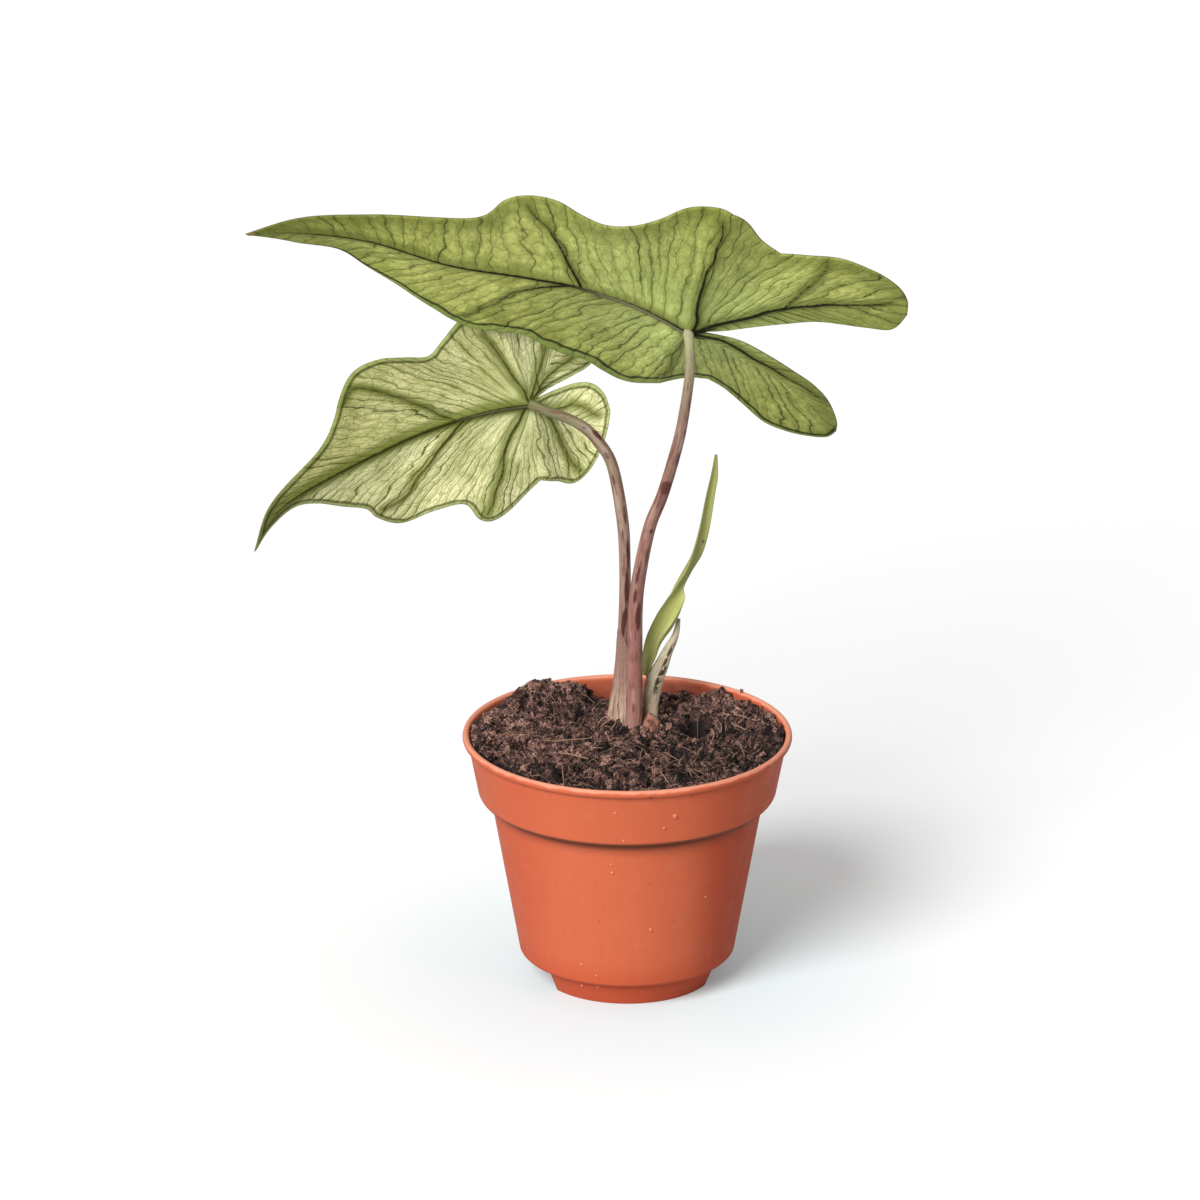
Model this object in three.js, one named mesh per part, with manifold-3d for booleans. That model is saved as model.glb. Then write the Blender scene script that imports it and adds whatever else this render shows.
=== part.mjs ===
// A young alocasia in a small nursery pot: two arrow-shaped leaves on tall petioles, a new leaf that is
// still unrolling, and the potting soil that they stand in.
// Millimetres, +Z up, front at -Y. Everything is laid out round the pot's axis, x = y = 0, with the table
// at z = 0. At the end the whole plant is moved so that its box stands centred on the origin.
import * as THREE from "three";
import { mergeVertices } from "three/addons/utils/BufferGeometryUtils.js";
import Module from "manifold-3d";

const wasm = await Module();
wasm.setup();

const gap = 0.3; // left between pieces that touch
const sides = 48; // facets round the pot

// The pot: thin moulded plastic with a wide collar, standing on two curved feet.
const pot = {
  wall: 0.8,
  floorUnder: 4.7,
  floorThick: 0.9,
  footOuter: 15.9,
  footTopOuter: 17.8,
  footThick: 1.2,
  footHalfAngle: 58,
  footTurn: 5,
  footSteps: 14,
  wallBottom: 19.7,
  bottomBevel: 0.6,
  wallTop: 24.9,
  wallTopHeight: 35.0,
  ledge: 0.5,
  collarBottom: 27.1,
  collarBottomHeight: 36.2,
  collarBevel: 0.6,
  collarTop: 28.9,
  collarTopHeight: 45.3,
  rimRadius: 30.0,
  rimHeight: 47.0,
  beadWidth: 1.2,
  beadDepth: 1.1,
  beadBevel: 0.5,
  drainRadius: 1.8,
  drainRing: 11,
  drainCount: 5,
  drainSides: 12,
};

// The soil: its level at the wall, the swells and the hollow that stand out of it or sink into it, and lumps
// of two sizes. The fine ones are a share of the coarse ones' height, and lie some times as close.
const soil = {
  level: 43.2,
  radius: 27.2,
  rings: 14,
  sectors: 60,
  lumpHeight: 1.9,
  lumpSize: 4.4,
  fineShare: 0.7,
  fineCloser: 2.1,
  swells: [
    { x: 1, y: 9, rise: 2.3, reach: 8 },
    { x: -17.5, y: 18, rise: 4.0, reach: 5.5 },
    { x: -11, y: 21, rise: 4.2, reach: 5.5 },
    { x: 17, y: 18.5, rise: 3.0, reach: 8 },
    { x: -26, y: 2, rise: 2.6, reach: 9 },
    { x: 26, y: 0, rise: 2.3, reach: 9 },
    { x: -18, y: -18, rise: 1.0, reach: 8 },
    { x: 12, y: 9.5, rise: -2.8, reach: 2.6 },
  ],
};

// The corm lies under the stems. A small bud of it stands out of the soil beside them.
const corm = { centre: [0.9, 9.6, 35.4], radii: [5.4, 5.0, 5.4], scars: 4, scarDepth: 0.03 };
const bud = { centre: [4.7, 7.1, 45.4], radii: [1.4, 1.3, 1.9] };
const ovalSides = 16;
const ovalRings = 12;
const socketDepth = 8; // how far over the soil's level the sockets of the stems and the bud are cut

// Stems are swept along their stations: the place of the centre, then the width and the depth there.
const stemSides = 8;
const largeStem = {
  steps: 22,
  stations: [
    [[1.3, 8.0, 41.2], 3.1, 3.1],
    [[1.3, 8.0, 48.5], 3.1, 3.0],
    [[1.4, 7.8, 59.0], 2.8, 2.8],
    [[1.6, 7.5, 69.5], 2.6, 2.6],
    [[2.5, 7.2, 76.5], 2.5, 2.5],
    [[4.1, 6.9, 84.2], 2.3, 2.3],
    [[6.4, 6.6, 90.4], 2.2, 2.2],
    [[8.5, 6.1, 98.0], 2.1, 2.1],
    [[9.8, 5.7, 103.8], 2.0, 2.0],
    [[11.1, 4.9, 113.3], 1.8, 1.8],
    [[11.1, 4.1, 118.6], 1.7, 1.7],
    [[10.73, 3.69, 121.23], 1.7, 1.7],
  ],
};
const smallStem = {
  steps: 24,
  stations: [
    [[-1.9, 10.4, 40.7], 2.4, 2.4],
    [[-1.8, 10.4, 47.0], 2.4, 2.4],
    [[-1.5, 10.4, 52.0], 2.2, 2.2],
    [[-1.0, 10.5, 58.1], 2.1, 2.1],
    [[-0.6, 10.7, 64.8], 2.1, 2.1],
    [[-0.4, 11.3, 73.3], 2.1, 2.1],
    [[-0.7, 12.7, 81.5], 2.2, 2.2],
    [[-1.8, 14.8, 88.8], 2.2, 2.2],
    [[-3.1, 16.7, 93.4], 2.1, 2.1],
    [[-5.5, 18.8, 96.5], 2.1, 2.1],
    [[-7.9, 20.7, 98.3], 2.0, 2.0],
    [[-11.2, 23.2, 99.3], 1.9, 1.9],
    [[-14.4, 25.6, 99.6], 1.7, 1.7],
    [[-17.03, 27.54, 99.95], 1.6, 1.6],
  ],
};
const newStem = {
  steps: 14,
  stations: [
    [[4.4, 11.0, 39.9], 2.4, 2.0],
    [[4.4, 11.0, 45.8], 2.5, 2.1],
    [[4.4, 11.2, 48.9], 2.9, 1.9],
    [[5.0, 11.5, 52.5], 3.3, 1.6],
    [[6.2, 11.9, 55.2], 2.7, 1.4],
    [[7.3, 12.3, 57.8], 2.0, 1.3],
    [[8.8, 12.9, 60.8], 1.3, 1.1],
    [[9.4, 13.2, 63.9], 0.9, 0.9],
  ],
};

// The papery sheath round the foot of the smaller leaf's petiole: stations of height and of the angle that
// it wraps.
const arcSteps = 6; // across a strip that is bent to an arc
const sheath = {
  thick: 0.6,
  facing: [0.8, -0.6, 0],
  steps: 7,
  stations: [
    [41.0, 210],
    [46.0, 215],
    [50.0, 190],
    [54.0, 140],
    [57.5, 60],
  ],
};

// The new leaf: place of the blade's middle, the chord across its two edges, the angle that it is rolled
// through, and how far it is turned to the left about its own length.
const newBlade = {
  thick: 0.65,
  steps: 26,
  stations: [
    [[3.0, 11.4, 53.6], 1.3, 100, -20],
    [[3.8, 11.4, 56.8], 2.4, 120, -20],
    [[5.0, 11.5, 60.4], 3.3, 130, -15],
    [[7.3, 11.6, 64.3], 4.3, 120, -5],
    [[9.0, 11.7, 68.1], 3.3, 130, 10],
    [[9.6, 11.9, 70.4], 2.3, 150, 45],
    [[11.2, 12.1, 73.4], 2.6, 130, 60],
    [[12.9, 12.3, 77.0], 2.9, 110, 50],
    [[14.1, 12.5, 81.8], 2.4, 110, 40],
    [[15.1, 12.8, 87.7], 1.8, 120, 30],
    [[15.8, 13.0, 91.6], 1.3, 130, 20],
    [[16.1, 13.1, 95.6], 0.7, 130, 20],
  ],
};

// A grown blade, flat before it is bent: u runs along the midrib from the petiole towards the tip, and v
// across it, positive on the half that is nearer the front. The margin of each half is three runs of
// points: the sinus edge, the outer edge of the basal lobe, and the side up to the tip. The bend is the
// midrib's height over u, the fold of the halves along it, the rise of the lobes, and a ripple of the margin.
// Columns run from the midrib to the margin. Those of the first part of each side all start at the petiole,
// and some of them carry a side vein, which stands out of the underside as the midrib does.
const blade = {
  thick: 0.7,
  midribRise: 0.45,
  sideVeinRise: 0.3,
  lobeColumns: 8,
  sideColumns: 24,
  fanShare: 1 / 6,
  rows: [0, 0.08, 0.36, 0.68, 1],
};
const largeLeaf = {
  attach: [10.87, 4.61, 121.99],
  tipward: [-0.968, -0.05, 0.244],
  facing: [0.12, 0.765, 0.632],
  midrib: [[0, 0], [10, 3], [25, 4.4], [44, 3], [60, 4.2], [73, 2.3], [81.4, -0.5]],
  fold: 6,
  lobeRise: 1.2,
  ripple: { height: 1.5, length: 44, start: -3, halfWidth: 30 },
  near: {
    lobeVein: [-26, 18],
    firstPace: 0.3,
    veinColumns: [4, 9, 14, 19],
    sinus: [
      [-1.5, 0], [-6, 1.2], [-10.5, 3.6], [-16, 6.6], [-22, 9.6], [-30, 10.8], [-34.6, 11.8], [-36, 16.5],
    ],
    lobe: [[-36, 16.5], [-34.9, 20.8], [-32, 24.8], [-27, 28.3], [-21, 29.6], [-15, 27.1], [-10.5, 25.2]],
    side: [
      [-10.5, 25.2], [-6.5, 27.2], [-2.5, 31.2], [1.5, 33], [5.5, 32], [8.6, 29.9], [12, 25.3], [16, 21.3],
      [20.5, 19.3], [25, 20.2], [30, 22.3], [35, 22], [38.8, 19.7], [41.8, 14.4], [49, 11.4], [61.5, 6.7],
      [72, 4.2], [81.4, 0],
    ],
  },
  far: {
    lobeVein: [-25, -17],
    firstPace: 0.3,
    veinColumns: [4, 10, 15, 20],
    sinus: [
      [-1.5, 0], [-6, -0.4], [-10.5, -1.4], [-16.6, -5.2], [-21.4, -8.6], [-26, -12.1], [-30, -17],
      [-33.2, -24], [-34.2, -28.5],
    ],
    lobe: [
      [-34.2, -28.5], [-33, -31], [-29, -31], [-25, -30.5], [-20.5, -29.3], [-15.5, -25.4], [-11.5, -22],
      [-8, -19.8],
    ],
    side: [
      [-8, -19.8], [-4.5, -21], [-0.5, -24.6], [3.8, -29.2], [7, -30], [10.5, -28.2], [14, -26],
      [19, -25.8], [23, -24.7], [26.5, -23.6], [31, -25], [36, -26.2], [40, -24], [44, -20.2], [51, -14.6],
      [58, -10.4], [64, -5.8], [72, -4.4], [81.4, 0],
    ],
  },
};
const smallLeaf = {
  attach: [-17.57, 28.61, 100.07],
  tipward: [-0.854, -0.394, -0.341],
  facing: [-0.449, 0.888, 0.099],
  midrib: [[0, 0], [6, 4.2], [14, 7.6], [24, 9.6], [35, 10], [46, 9.3], [52, 6.5], [58.9, -0.8]],
  fold: 5,
  lobeRise: 1.5,
  ripple: { height: 1, length: 30, start: 0, halfWidth: 20 },
  near: {
    lobeVein: [-10, 8],
    firstPace: 0.05,
    veinColumns: [3, 9, 15, 19],
    sinus: [[-1, 0.4], [-5, 0.7], [-9.5, 0.5], [-13.8, 0.8], [-16.6, 3.4], [-17, 8]],
    lobe: [[-17, 8], [-15.6, 13], [-12, 17], [-7.5, 18.6], [-3.5, 17.4]],
    side: [
      [-3.5, 17.4], [-0.5, 19], [3, 20.6], [6.6, 19], [10, 16.5], [13.2, 14.4], [17, 15.7], [21, 17],
      [25, 17], [28, 15.7], [31, 12.7], [33, 10], [36, 7.1], [40, 4.9], [47, 2.8], [53, 1.6], [58.9, 0],
    ],
  },
  far: {
    lobeVein: [-8, -10],
    firstPace: 0.05,
    veinColumns: [5, 10, 14, 19],
    sinus: [[-1, 0.4], [-6, -0.4], [-10.6, -1.6], [-13.3, -3.7], [-14.7, -7], [-14.8, -10.8]],
    lobe: [
      [-14.8, -10.8], [-13, -14.5], [-9.8, -18.8], [-6.4, -21.6], [-3.6, -21.9], [-0.8, -19.4], [1.7, -18.2],
    ],
    side: [
      [1.7, -18.2], [5.8, -21.8], [9.1, -23.6], [12, -23.9], [14, -22.4], [15.6, -18.4], [21, -17.7],
      [26, -18], [28.8, -16.8], [31.6, -13.6], [33, -10.8], [37.3, -7.5], [41.7, -4.1], [46, -2.1],
      [52, -1.6], [58.9, 0],
    ],
  },
};

const materials = {
  potPlastic: new THREE.MeshStandardMaterial({ color: 0xcb6240, roughness: 0.5, metalness: 0 }),
  potting: new THREE.MeshStandardMaterial({ color: 0x4b3833, roughness: 1, metalness: 0 }),
  largeBlade: new THREE.MeshStandardMaterial({ color: 0x8fa552, roughness: 0.5, metalness: 0 }),
  smallBlade: new THREE.MeshStandardMaterial({ color: 0xbcc68a, roughness: 0.5, metalness: 0 }),
  youngBlade: new THREE.MeshStandardMaterial({ color: 0xa3b54c, roughness: 0.45, metalness: 0 }),
  petiole: new THREE.MeshStandardMaterial({ color: 0xa07d75, roughness: 0.5, metalness: 0 }),
  paleSheath: new THREE.MeshStandardMaterial({ color: 0xc6b295, roughness: 0.8, metalness: 0 }),
  cormSkin: new THREE.MeshStandardMaterial({ color: 0x7c4f3f, roughness: 0.8, metalness: 0 }),
};

// Welds a geometry's vertices, drops the triangles that closed up, and turns the faces outwards.
function closed(geometry) {
  geometry.deleteAttribute("normal");
  geometry.deleteAttribute("uv");
  const welded = mergeVertices(geometry, 1e-4);
  const at = [...welded.index.array];
  const kept = [];
  for (let i = 0; i < at.length; i += 3) {
    const [a, b, c] = at.slice(i, i + 3);
    if (a !== b && b !== c && c !== a) kept.push(a, b, c);
  }
  const corner = (i) => new THREE.Vector3().fromBufferAttribute(welded.attributes.position, i);
  let volume = 0;
  for (let i = 0; i < kept.length; i += 3) {
    volume += corner(kept[i]).dot(corner(kept[i + 1]).cross(corner(kept[i + 2])));
  }
  if (volume < 0) kept.reverse();
  welded.setIndex(kept);
  return welded;
}

function fromTriangles(points) {
  const geometry = new THREE.BufferGeometry();
  geometry.setFromPoints(points);
  return closed(geometry);
}

function solidOf(geometry) {
  const vertProperties = new Float32Array(geometry.attributes.position.array);
  const triVerts = new Uint32Array(geometry.index.array);
  return new wasm.Manifold(new wasm.Mesh({ numProp: 3, vertProperties, triVerts }));
}

function geometryOf(solid) {
  const mesh = solid.getMesh();
  const geometry = new THREE.BufferGeometry();
  geometry.setAttribute("position", new THREE.BufferAttribute(new Float32Array(mesh.vertProperties), 3));
  geometry.setIndex([...mesh.triVerts]);
  return geometry;
}

// A closed skin over a row of rings, which all have the same even number of points. Each end is closed by
// a ladder of quads from one side of its ring to the other.
function loft(rings) {
  const points = [];
  const quad = (a, b, c, d) => points.push(a, b, c, a, c, d);
  const count = rings[0].length;
  for (let k = 0; k + 1 < rings.length; k += 1) {
    for (let i = 0; i < count; i += 1) {
      const j = (i + 1) % count;
      quad(rings[k][i], rings[k][j], rings[k + 1][j], rings[k + 1][i]);
    }
  }
  const last = rings[rings.length - 1];
  for (let i = 0; i + 1 < count / 2; i += 1) {
    const [j, m, n] = [i + 1, count - 2 - i, count - 1 - i];
    quad(rings[0][n], rings[0][m], rings[0][j], rings[0][i]);
    quad(last[i], last[j], last[m], last[n]);
  }
  return fromTriangles(points);
}

// A profile of radius and height turned about the Z axis.
function turned(profile, segments) {
  const geometry = new THREE.LatheGeometry(profile.map(([r, z]) => new THREE.Vector2(r, z)), segments);
  geometry.rotateX(Math.PI / 2);
  return geometry;
}

// An upright round cutter from one height to another.
function cutter(x, y, radius, from, to) {
  const geometry = new THREE.CylinderGeometry(radius, radius, to - from, pot.drainSides);
  geometry.rotateX(Math.PI / 2);
  geometry.translate(x, y, (from + to) / 2);
  return solidOf(closed(geometry));
}

function potFoot(middle) {
  const { footOuter, footTopOuter, footThick, footHalfAngle, footSteps, floorUnder, floorThick } = pot;
  const sunk = floorUnder + floorThick / 2;
  const rings = [];
  for (let step = 0; step <= footSteps; step += 1) {
    const angle = THREE.MathUtils.degToRad(middle + footHalfAngle * ((2 * step) / footSteps - 1));
    const at = (r, z) => new THREE.Vector3(r * Math.cos(angle), r * Math.sin(angle), z);
    rings.push([
      at(footOuter, 0),
      at(footTopOuter, sunk),
      at(footTopOuter - footThick, sunk),
      at(footOuter - footThick, 0),
    ]);
  }
  return solidOf(loft(rings));
}

function potGeometry() {
  const { wall, floorUnder, floorThick, wallBottom, bottomBevel, wallTop, wallTopHeight, ledge } = pot;
  const { collarBottom, collarBottomHeight, collarBevel, collarTop, collarTopHeight } = pot;
  const { rimRadius, rimHeight, beadWidth, beadDepth, beadBevel } = pot;
  const floorTop = floorUnder + floorThick;
  const profile = [
    [0, floorUnder],
    [wallBottom - bottomBevel, floorUnder],
    [wallBottom, floorUnder + bottomBevel],
    [wallTop, wallTopHeight],
    [wallTop + ledge, wallTopHeight + ledge / 2],
    [collarBottom - collarBevel, collarBottomHeight - collarBevel],
    [collarBottom, collarBottomHeight],
    [collarTop, collarTopHeight],
    [rimRadius - beadBevel, rimHeight - beadDepth],
    [rimRadius, rimHeight - beadDepth / 2],
    [rimRadius - beadBevel, rimHeight],
    [rimRadius - beadWidth, rimHeight],
    [collarTop - wall, collarTopHeight],
    [collarBottom - wall, collarBottomHeight + wall],
    [wallTop + ledge / 2, wallTopHeight + wall + ledge / 2],
    [wallTop - wall, wallTopHeight + wall],
    [wallBottom - wall, floorTop + 2 * bottomBevel],
    [wallBottom - wall - bottomBevel, floorTop],
    [0, floorTop],
  ];
  let body = solidOf(closed(turned(profile, sides)));
  body = body.add(potFoot(pot.footTurn - 90)).add(potFoot(pot.footTurn + 90));
  for (let i = 0; i < pot.drainCount; i += 1) {
    const angle = (2 * Math.PI * i) / pot.drainCount;
    const [x, y] = [pot.drainRing * Math.cos(angle), pot.drainRing * Math.sin(angle)];
    body = body.subtract(cutter(x, y, pot.drainRadius, 0, floorTop + 1));
  }
  return geometryOf(body);
}

// Smooth noise between 0 and 1: random values on a unit lattice, blended between its corners.
function lumps(x, y) {
  const value = (i, j) => {
    const s = Math.sin(i * 127.1 + j * 311.7) * 43758.5453;
    return s - Math.floor(s);
  };
  const [i, j] = [Math.floor(x), Math.floor(y)];
  const ease = (t) => t * t * (3 - 2 * t);
  const [s, t] = [ease(x - i), ease(y - j)];
  const low = value(i, j) * (1 - s) + value(i + 1, j) * s;
  const high = value(i, j + 1) * (1 - s) + value(i + 1, j + 1) * s;
  return low * (1 - t) + high * t;
}

// Height of the soil: its level, the swells, and lumps of two sizes.
function soilHeight(x, y) {
  let z = soil.level;
  for (const swell of soil.swells) {
    const distance = Math.hypot(x - swell.x, y - swell.y) / swell.reach;
    z += swell.rise * Math.exp(-distance * distance);
  }
  const { lumpSize, lumpHeight, fineShare, fineCloser } = soil;
  z += lumpHeight * (lumps(x / lumpSize + 9, y / lumpSize + 4) - 0.5);
  const fine = lumps((fineCloser * x) / lumpSize, (fineCloser * y) / lumpSize + 7) - 0.5;
  return z + fineShare * lumpHeight * fine;
}

function soilGeometry() {
  const { wall, floorUnder, floorThick, wallBottom, bottomBevel, wallTop, wallTopHeight } = pot;
  const { collarBottom, collarBottomHeight } = pot;
  const floor = floorUnder + floorThick + gap;
  const profile = [];
  for (let ring = 0; ring <= soil.rings; ring += 1) {
    profile.push([(soil.radius * ring) / soil.rings, soil.level]);
  }
  profile.push([collarBottom - wall - gap, collarBottomHeight + wall + gap]);
  profile.push([wallTop - wall - gap, wallTopHeight + wall]);
  profile.push([wallBottom - wall - gap, floor + 2 * bottomBevel]);
  profile.push([wallBottom - wall - bottomBevel - gap, floor]);
  profile.push([0, floor]);
  const geometry = turned(profile, soil.sectors);
  const place = geometry.attributes.position;
  for (let i = 0; i < place.count; i += 1) {
    if (Math.abs(place.getZ(i) - soil.level) < 1e-3) {
      place.setZ(i, soilHeight(place.getX(i), place.getY(i)));
    }
  }
  let body = solidOf(closed(geometry));
  const top = soil.level + socketDepth;
  for (const [stem, clear] of [[largeStem, gap], [smallStem, 2 * gap + sheath.thick], [newStem, gap]]) {
    const [[x, y, z], width] = stem.stations[0];
    body = body.subtract(cutter(x, y, width / 2 + clear + gap / 3, z - gap, top));
  }
  const [x, y, z] = bud.centre;
  body = body.subtract(cutter(x, y, bud.radii[0] + gap, z - bud.radii[2] - gap, top));
  const pocket = ovalGeometry(corm.centre, corm.radii.map((r) => r * (1 + corm.scarDepth) + gap), 0);
  return geometryOf(body.subtract(solidOf(pocket)));
}

// An oval body, with shallow rings round it where leaves have fallen off.
function ovalGeometry(centre, radii, scarDepth) {
  const geometry = new THREE.SphereGeometry(1, ovalSides, ovalRings);
  geometry.rotateX(Math.PI / 2);
  const place = geometry.attributes.position;
  for (let i = 0; i < place.count; i += 1) {
    const swell = 1 + scarDepth * Math.cos(corm.scars * Math.PI * place.getZ(i));
    place.setXYZ(i, place.getX(i) * swell, place.getY(i) * swell, place.getZ(i));
  }
  geometry.scale(...radii);
  geometry.translate(...centre);
  return closed(geometry);
}

// Curves through a stem's or a blade's stations: its centre line, and two of the values given with them.
function curves(stations, first, second) {
  return {
    path: new THREE.CatmullRomCurve3(stations.map((s) => new THREE.Vector3(...s[0]))),
    values: new THREE.SplineCurve(stations.map((s) => new THREE.Vector2(s[first], s[second]))),
  };
}

// A stem's skin. Where it carries a grown leaf, its top is cut parallel to the blade.
function stemGeometry(stem, leaf) {
  const { path, values } = curves(stem.stations, 1, 2);
  const away = new THREE.Vector3(0, 1, 0);
  const rings = [];
  for (let k = 0; k <= stem.steps; k += 1) {
    const centre = path.getPoint(k / stem.steps);
    const along = path.getTangent(k / stem.steps);
    const size = values.getPoint(k / stem.steps);
    const across = along.clone().cross(away).normalize();
    const through = across.clone().cross(along);
    const cut = leaf && k === stem.steps ? new THREE.Vector3(...leaf.facing) : along;
    const ring = [];
    for (let i = 0; i < stemSides; i += 1) {
      const angle = (2 * Math.PI * i) / stemSides;
      const point = centre.clone().addScaledVector(across, (size.x / 2) * Math.cos(angle));
      point.addScaledVector(through, (size.y / 2) * Math.sin(angle));
      ring.push(point.addScaledVector(along, centre.clone().sub(point).dot(cut) / along.dot(cut)));
    }
    rings.push(ring);
  }
  return loft(rings);
}

// A ring of points round a strip that is bent to an arc, open towards facing.
function arcRing(centre, facing, across, radius, degrees, thick) {
  const ring = [];
  const half = THREE.MathUtils.degToRad(degrees) / 2;
  const arcPoint = (r, turn) => centre.clone()
    .addScaledVector(facing, -r * Math.cos(turn)).addScaledVector(across, r * Math.sin(turn));
  for (let i = 0; i <= arcSteps; i += 1) {
    ring.push(arcPoint(radius - thick / 2, half * ((2 * i) / arcSteps - 1)));
  }
  for (let i = arcSteps; i >= 0; i -= 1) {
    ring.push(arcPoint(radius + thick / 2, half * ((2 * i) / arcSteps - 1)));
  }
  return ring;
}

function sheathGeometry() {
  const { path } = curves(smallStem.stations, 1, 2);
  const values = new THREE.SplineCurve(sheath.stations.map((s) => new THREE.Vector2(s[0], s[1])));
  const facing = new THREE.Vector3(...sheath.facing);
  const across = facing.clone().cross(new THREE.Vector3(0, 0, 1));
  const radius = smallStem.stations[0][1] / 2 + gap + sheath.thick / 2;
  const rings = [];
  for (let k = 0; k <= sheath.steps; k += 1) {
    const { x: height, y: wrap } = values.getPoint(k / sheath.steps);
    const centre = centreAtHeight(path, height);
    rings.push(arcRing(centre, facing, across, radius, wrap, sheath.thick));
  }
  return loft(rings);
}

// The point at a height on the lower half of a path, which only rises there, by halving.
function centreAtHeight(path, height) {
  let [low, high] = [0, 1 / 2];
  while (high - low > 1e-9) {
    const middle = (low + high) / 2;
    if (path.getPoint(middle).z < height) low = middle;
    else high = middle;
  }
  const point = path.getPoint(low);
  return point.setZ(height);
}

function newBladeGeometry() {
  const { path, values } = curves(newBlade.stations, 1, 2);
  const turns = curves(newBlade.stations, 3, 3).values;
  const front = new THREE.Vector3(0, -1, 0);
  const rings = [];
  for (let k = 0; k <= newBlade.steps; k += 1) {
    const t = k / newBlade.steps;
    const { x: chord, y: roll } = values.getPoint(t);
    const along = path.getTangent(t);
    const facing = front.clone().addScaledVector(along, -front.dot(along)).normalize();
    facing.applyAxisAngle(along, THREE.MathUtils.degToRad(turns.getPoint(t).x));
    const across = along.clone().cross(facing);
    const half = THREE.MathUtils.degToRad(roll) / 2;
    const radius = chord / 2 / Math.sin(half);
    const centre = path.getPoint(t).addScaledVector(facing, radius * Math.cos(half));
    rings.push(arcRing(centre, facing, across, radius, roll, newBlade.thick));
  }
  return loft(rings);
}

// Cubic through height points, with slopes from the points on either side.
function heightAt(knots, u) {
  const last = knots.length - 1;
  const slope = (k) => {
    const [a, b] = [knots[Math.max(k - 1, 0)], knots[Math.min(k + 1, last)]];
    return (b[1] - a[1]) / (b[0] - a[0]);
  };
  let k = 0;
  while (k < last - 1 && u > knots[k + 1][0]) k += 1;
  const [[u0, h0], [u1, h1]] = [knots[k], knots[k + 1]];
  const [span, s] = [u1 - u0, Math.min((u - u0) / (u1 - u0), 1)];
  const rise = (2 * s ** 3 - 3 * s ** 2 + 1) * h0 + (3 * s ** 2 - 2 * s ** 3) * h1;
  return rise + span * ((s ** 3 - 2 * s ** 2 + s) * slope(k) + (s ** 3 - s ** 2) * slope(k + 1));
}

// Places a flat point (u, v) of a leaf on its bent blade, raised by some distance off the middle.
function placer(leaf) {
  const facing = new THREE.Vector3(...leaf.facing).normalize();
  const tipward = new THREE.Vector3(...leaf.tipward);
  tipward.addScaledVector(facing, -tipward.dot(facing)).normalize();
  const across = facing.clone().cross(tipward);
  const fold = THREE.MathUtils.degToRad(leaf.fold);
  const { height, length, start, halfWidth } = leaf.ripple;
  return (u, v, raised) => {
    const arch = u > 0 ? heightAt(leaf.midrib, u) : leaf.lobeRise * (1 - Math.exp(u / 6));
    const wave = height * (v / halfWidth) ** 2 * Math.cos((2 * Math.PI * (u - start)) / length);
    return new THREE.Vector3(...leaf.attach)
      .addScaledVector(tipward, u)
      .addScaledVector(across, v * Math.cos(fold))
      .addScaledVector(facing, arch + Math.abs(v) * Math.sin(fold) + wave + raised);
  };
}

// Columns across one half of a blade. Each runs from a main vein, the lobe's or the midrib, to the margin,
// as points of u, v and the rise of the veins there.
function columnsOf(leaf, half) {
  const length = leaf.midrib[leaf.midrib.length - 1][0];
  const margin = (points) => new THREE.SplineCurve(points.map((p) => new THREE.Vector2(...p)));
  const columns = [];
  const column = (edge, u, v, mainRise, sideRise) => {
    columns.push(blade.rows.map((w) => {
      const rise = w === 0 ? mainRise : sideRise * (1 - w);
      return [u + (edge.x - u) * w, v + (edge.y - v) * w, rise];
    }));
  };
  const [lobeU, lobeV] = half.lobeVein;
  for (let k = 0; k <= blade.lobeColumns; k += 1) {
    const t = k / blade.lobeColumns;
    column(margin(half.sinus).getPoint(t), t * lobeU, t * lobeV, (1 - t) * blade.midribRise, 0);
  }
  for (let k = 0; k <= blade.lobeColumns; k += 1) {
    const t = 1 - k / blade.lobeColumns;
    column(margin(half.lobe).getPoint(1 - t), t * lobeU, t * lobeV, (1 - t) * blade.midribRise, 0);
  }
  for (let k = 0; k <= blade.sideColumns; k += 1) {
    const t = k / blade.sideColumns;
    const s = Math.max(0, (t - blade.fanShare) / (1 - blade.fanShare));
    const u = length * s * (half.firstPace + (1 - half.firstPace) * s * s);
    const sideRise = half.veinColumns.includes(k) ? blade.sideVeinRise : 0;
    column(margin(half.side).getPoint(t), u, 0, (1 - u / length) * blade.midribRise, sideRise);
  }
  return columns;
}

// Both faces are split into the same triangles, and a narrow band joins them round the margin.
function bladeGeometry(leaf) {
  const place = placer(leaf);
  const points = [];
  const quad = (a, b, c, d, turn) => {
    if (turn > 0) points.push(a, b, c, a, c, d);
    else points.push(a, c, b, a, d, c);
  };
  for (const [half, turn] of [[leaf.near, 1], [leaf.far, -1]]) {
    const columns = columnsOf(leaf, half);
    const upper = columns.map((c) => c.map(([u, v]) => place(u, v, blade.thick / 2)));
    const lower = columns.map((c) => c.map(([u, v, rise]) => place(u, v, -blade.thick / 2 - rise)));
    const edge = blade.rows.length - 1;
    for (let k = 0; k + 1 < columns.length; k += 1) {
      const j = k + 1;
      for (let i = 0; i < edge; i += 1) {
        quad(upper[k][i], upper[k][i + 1], upper[j][i + 1], upper[j][i], turn);
        quad(lower[k][i], lower[k][i + 1], lower[j][i + 1], lower[j][i], -turn);
      }
      quad(upper[k][edge], lower[k][edge], lower[j][edge], upper[j][edge], turn);
    }
  }
  return fromTriangles(points);
}

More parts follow.
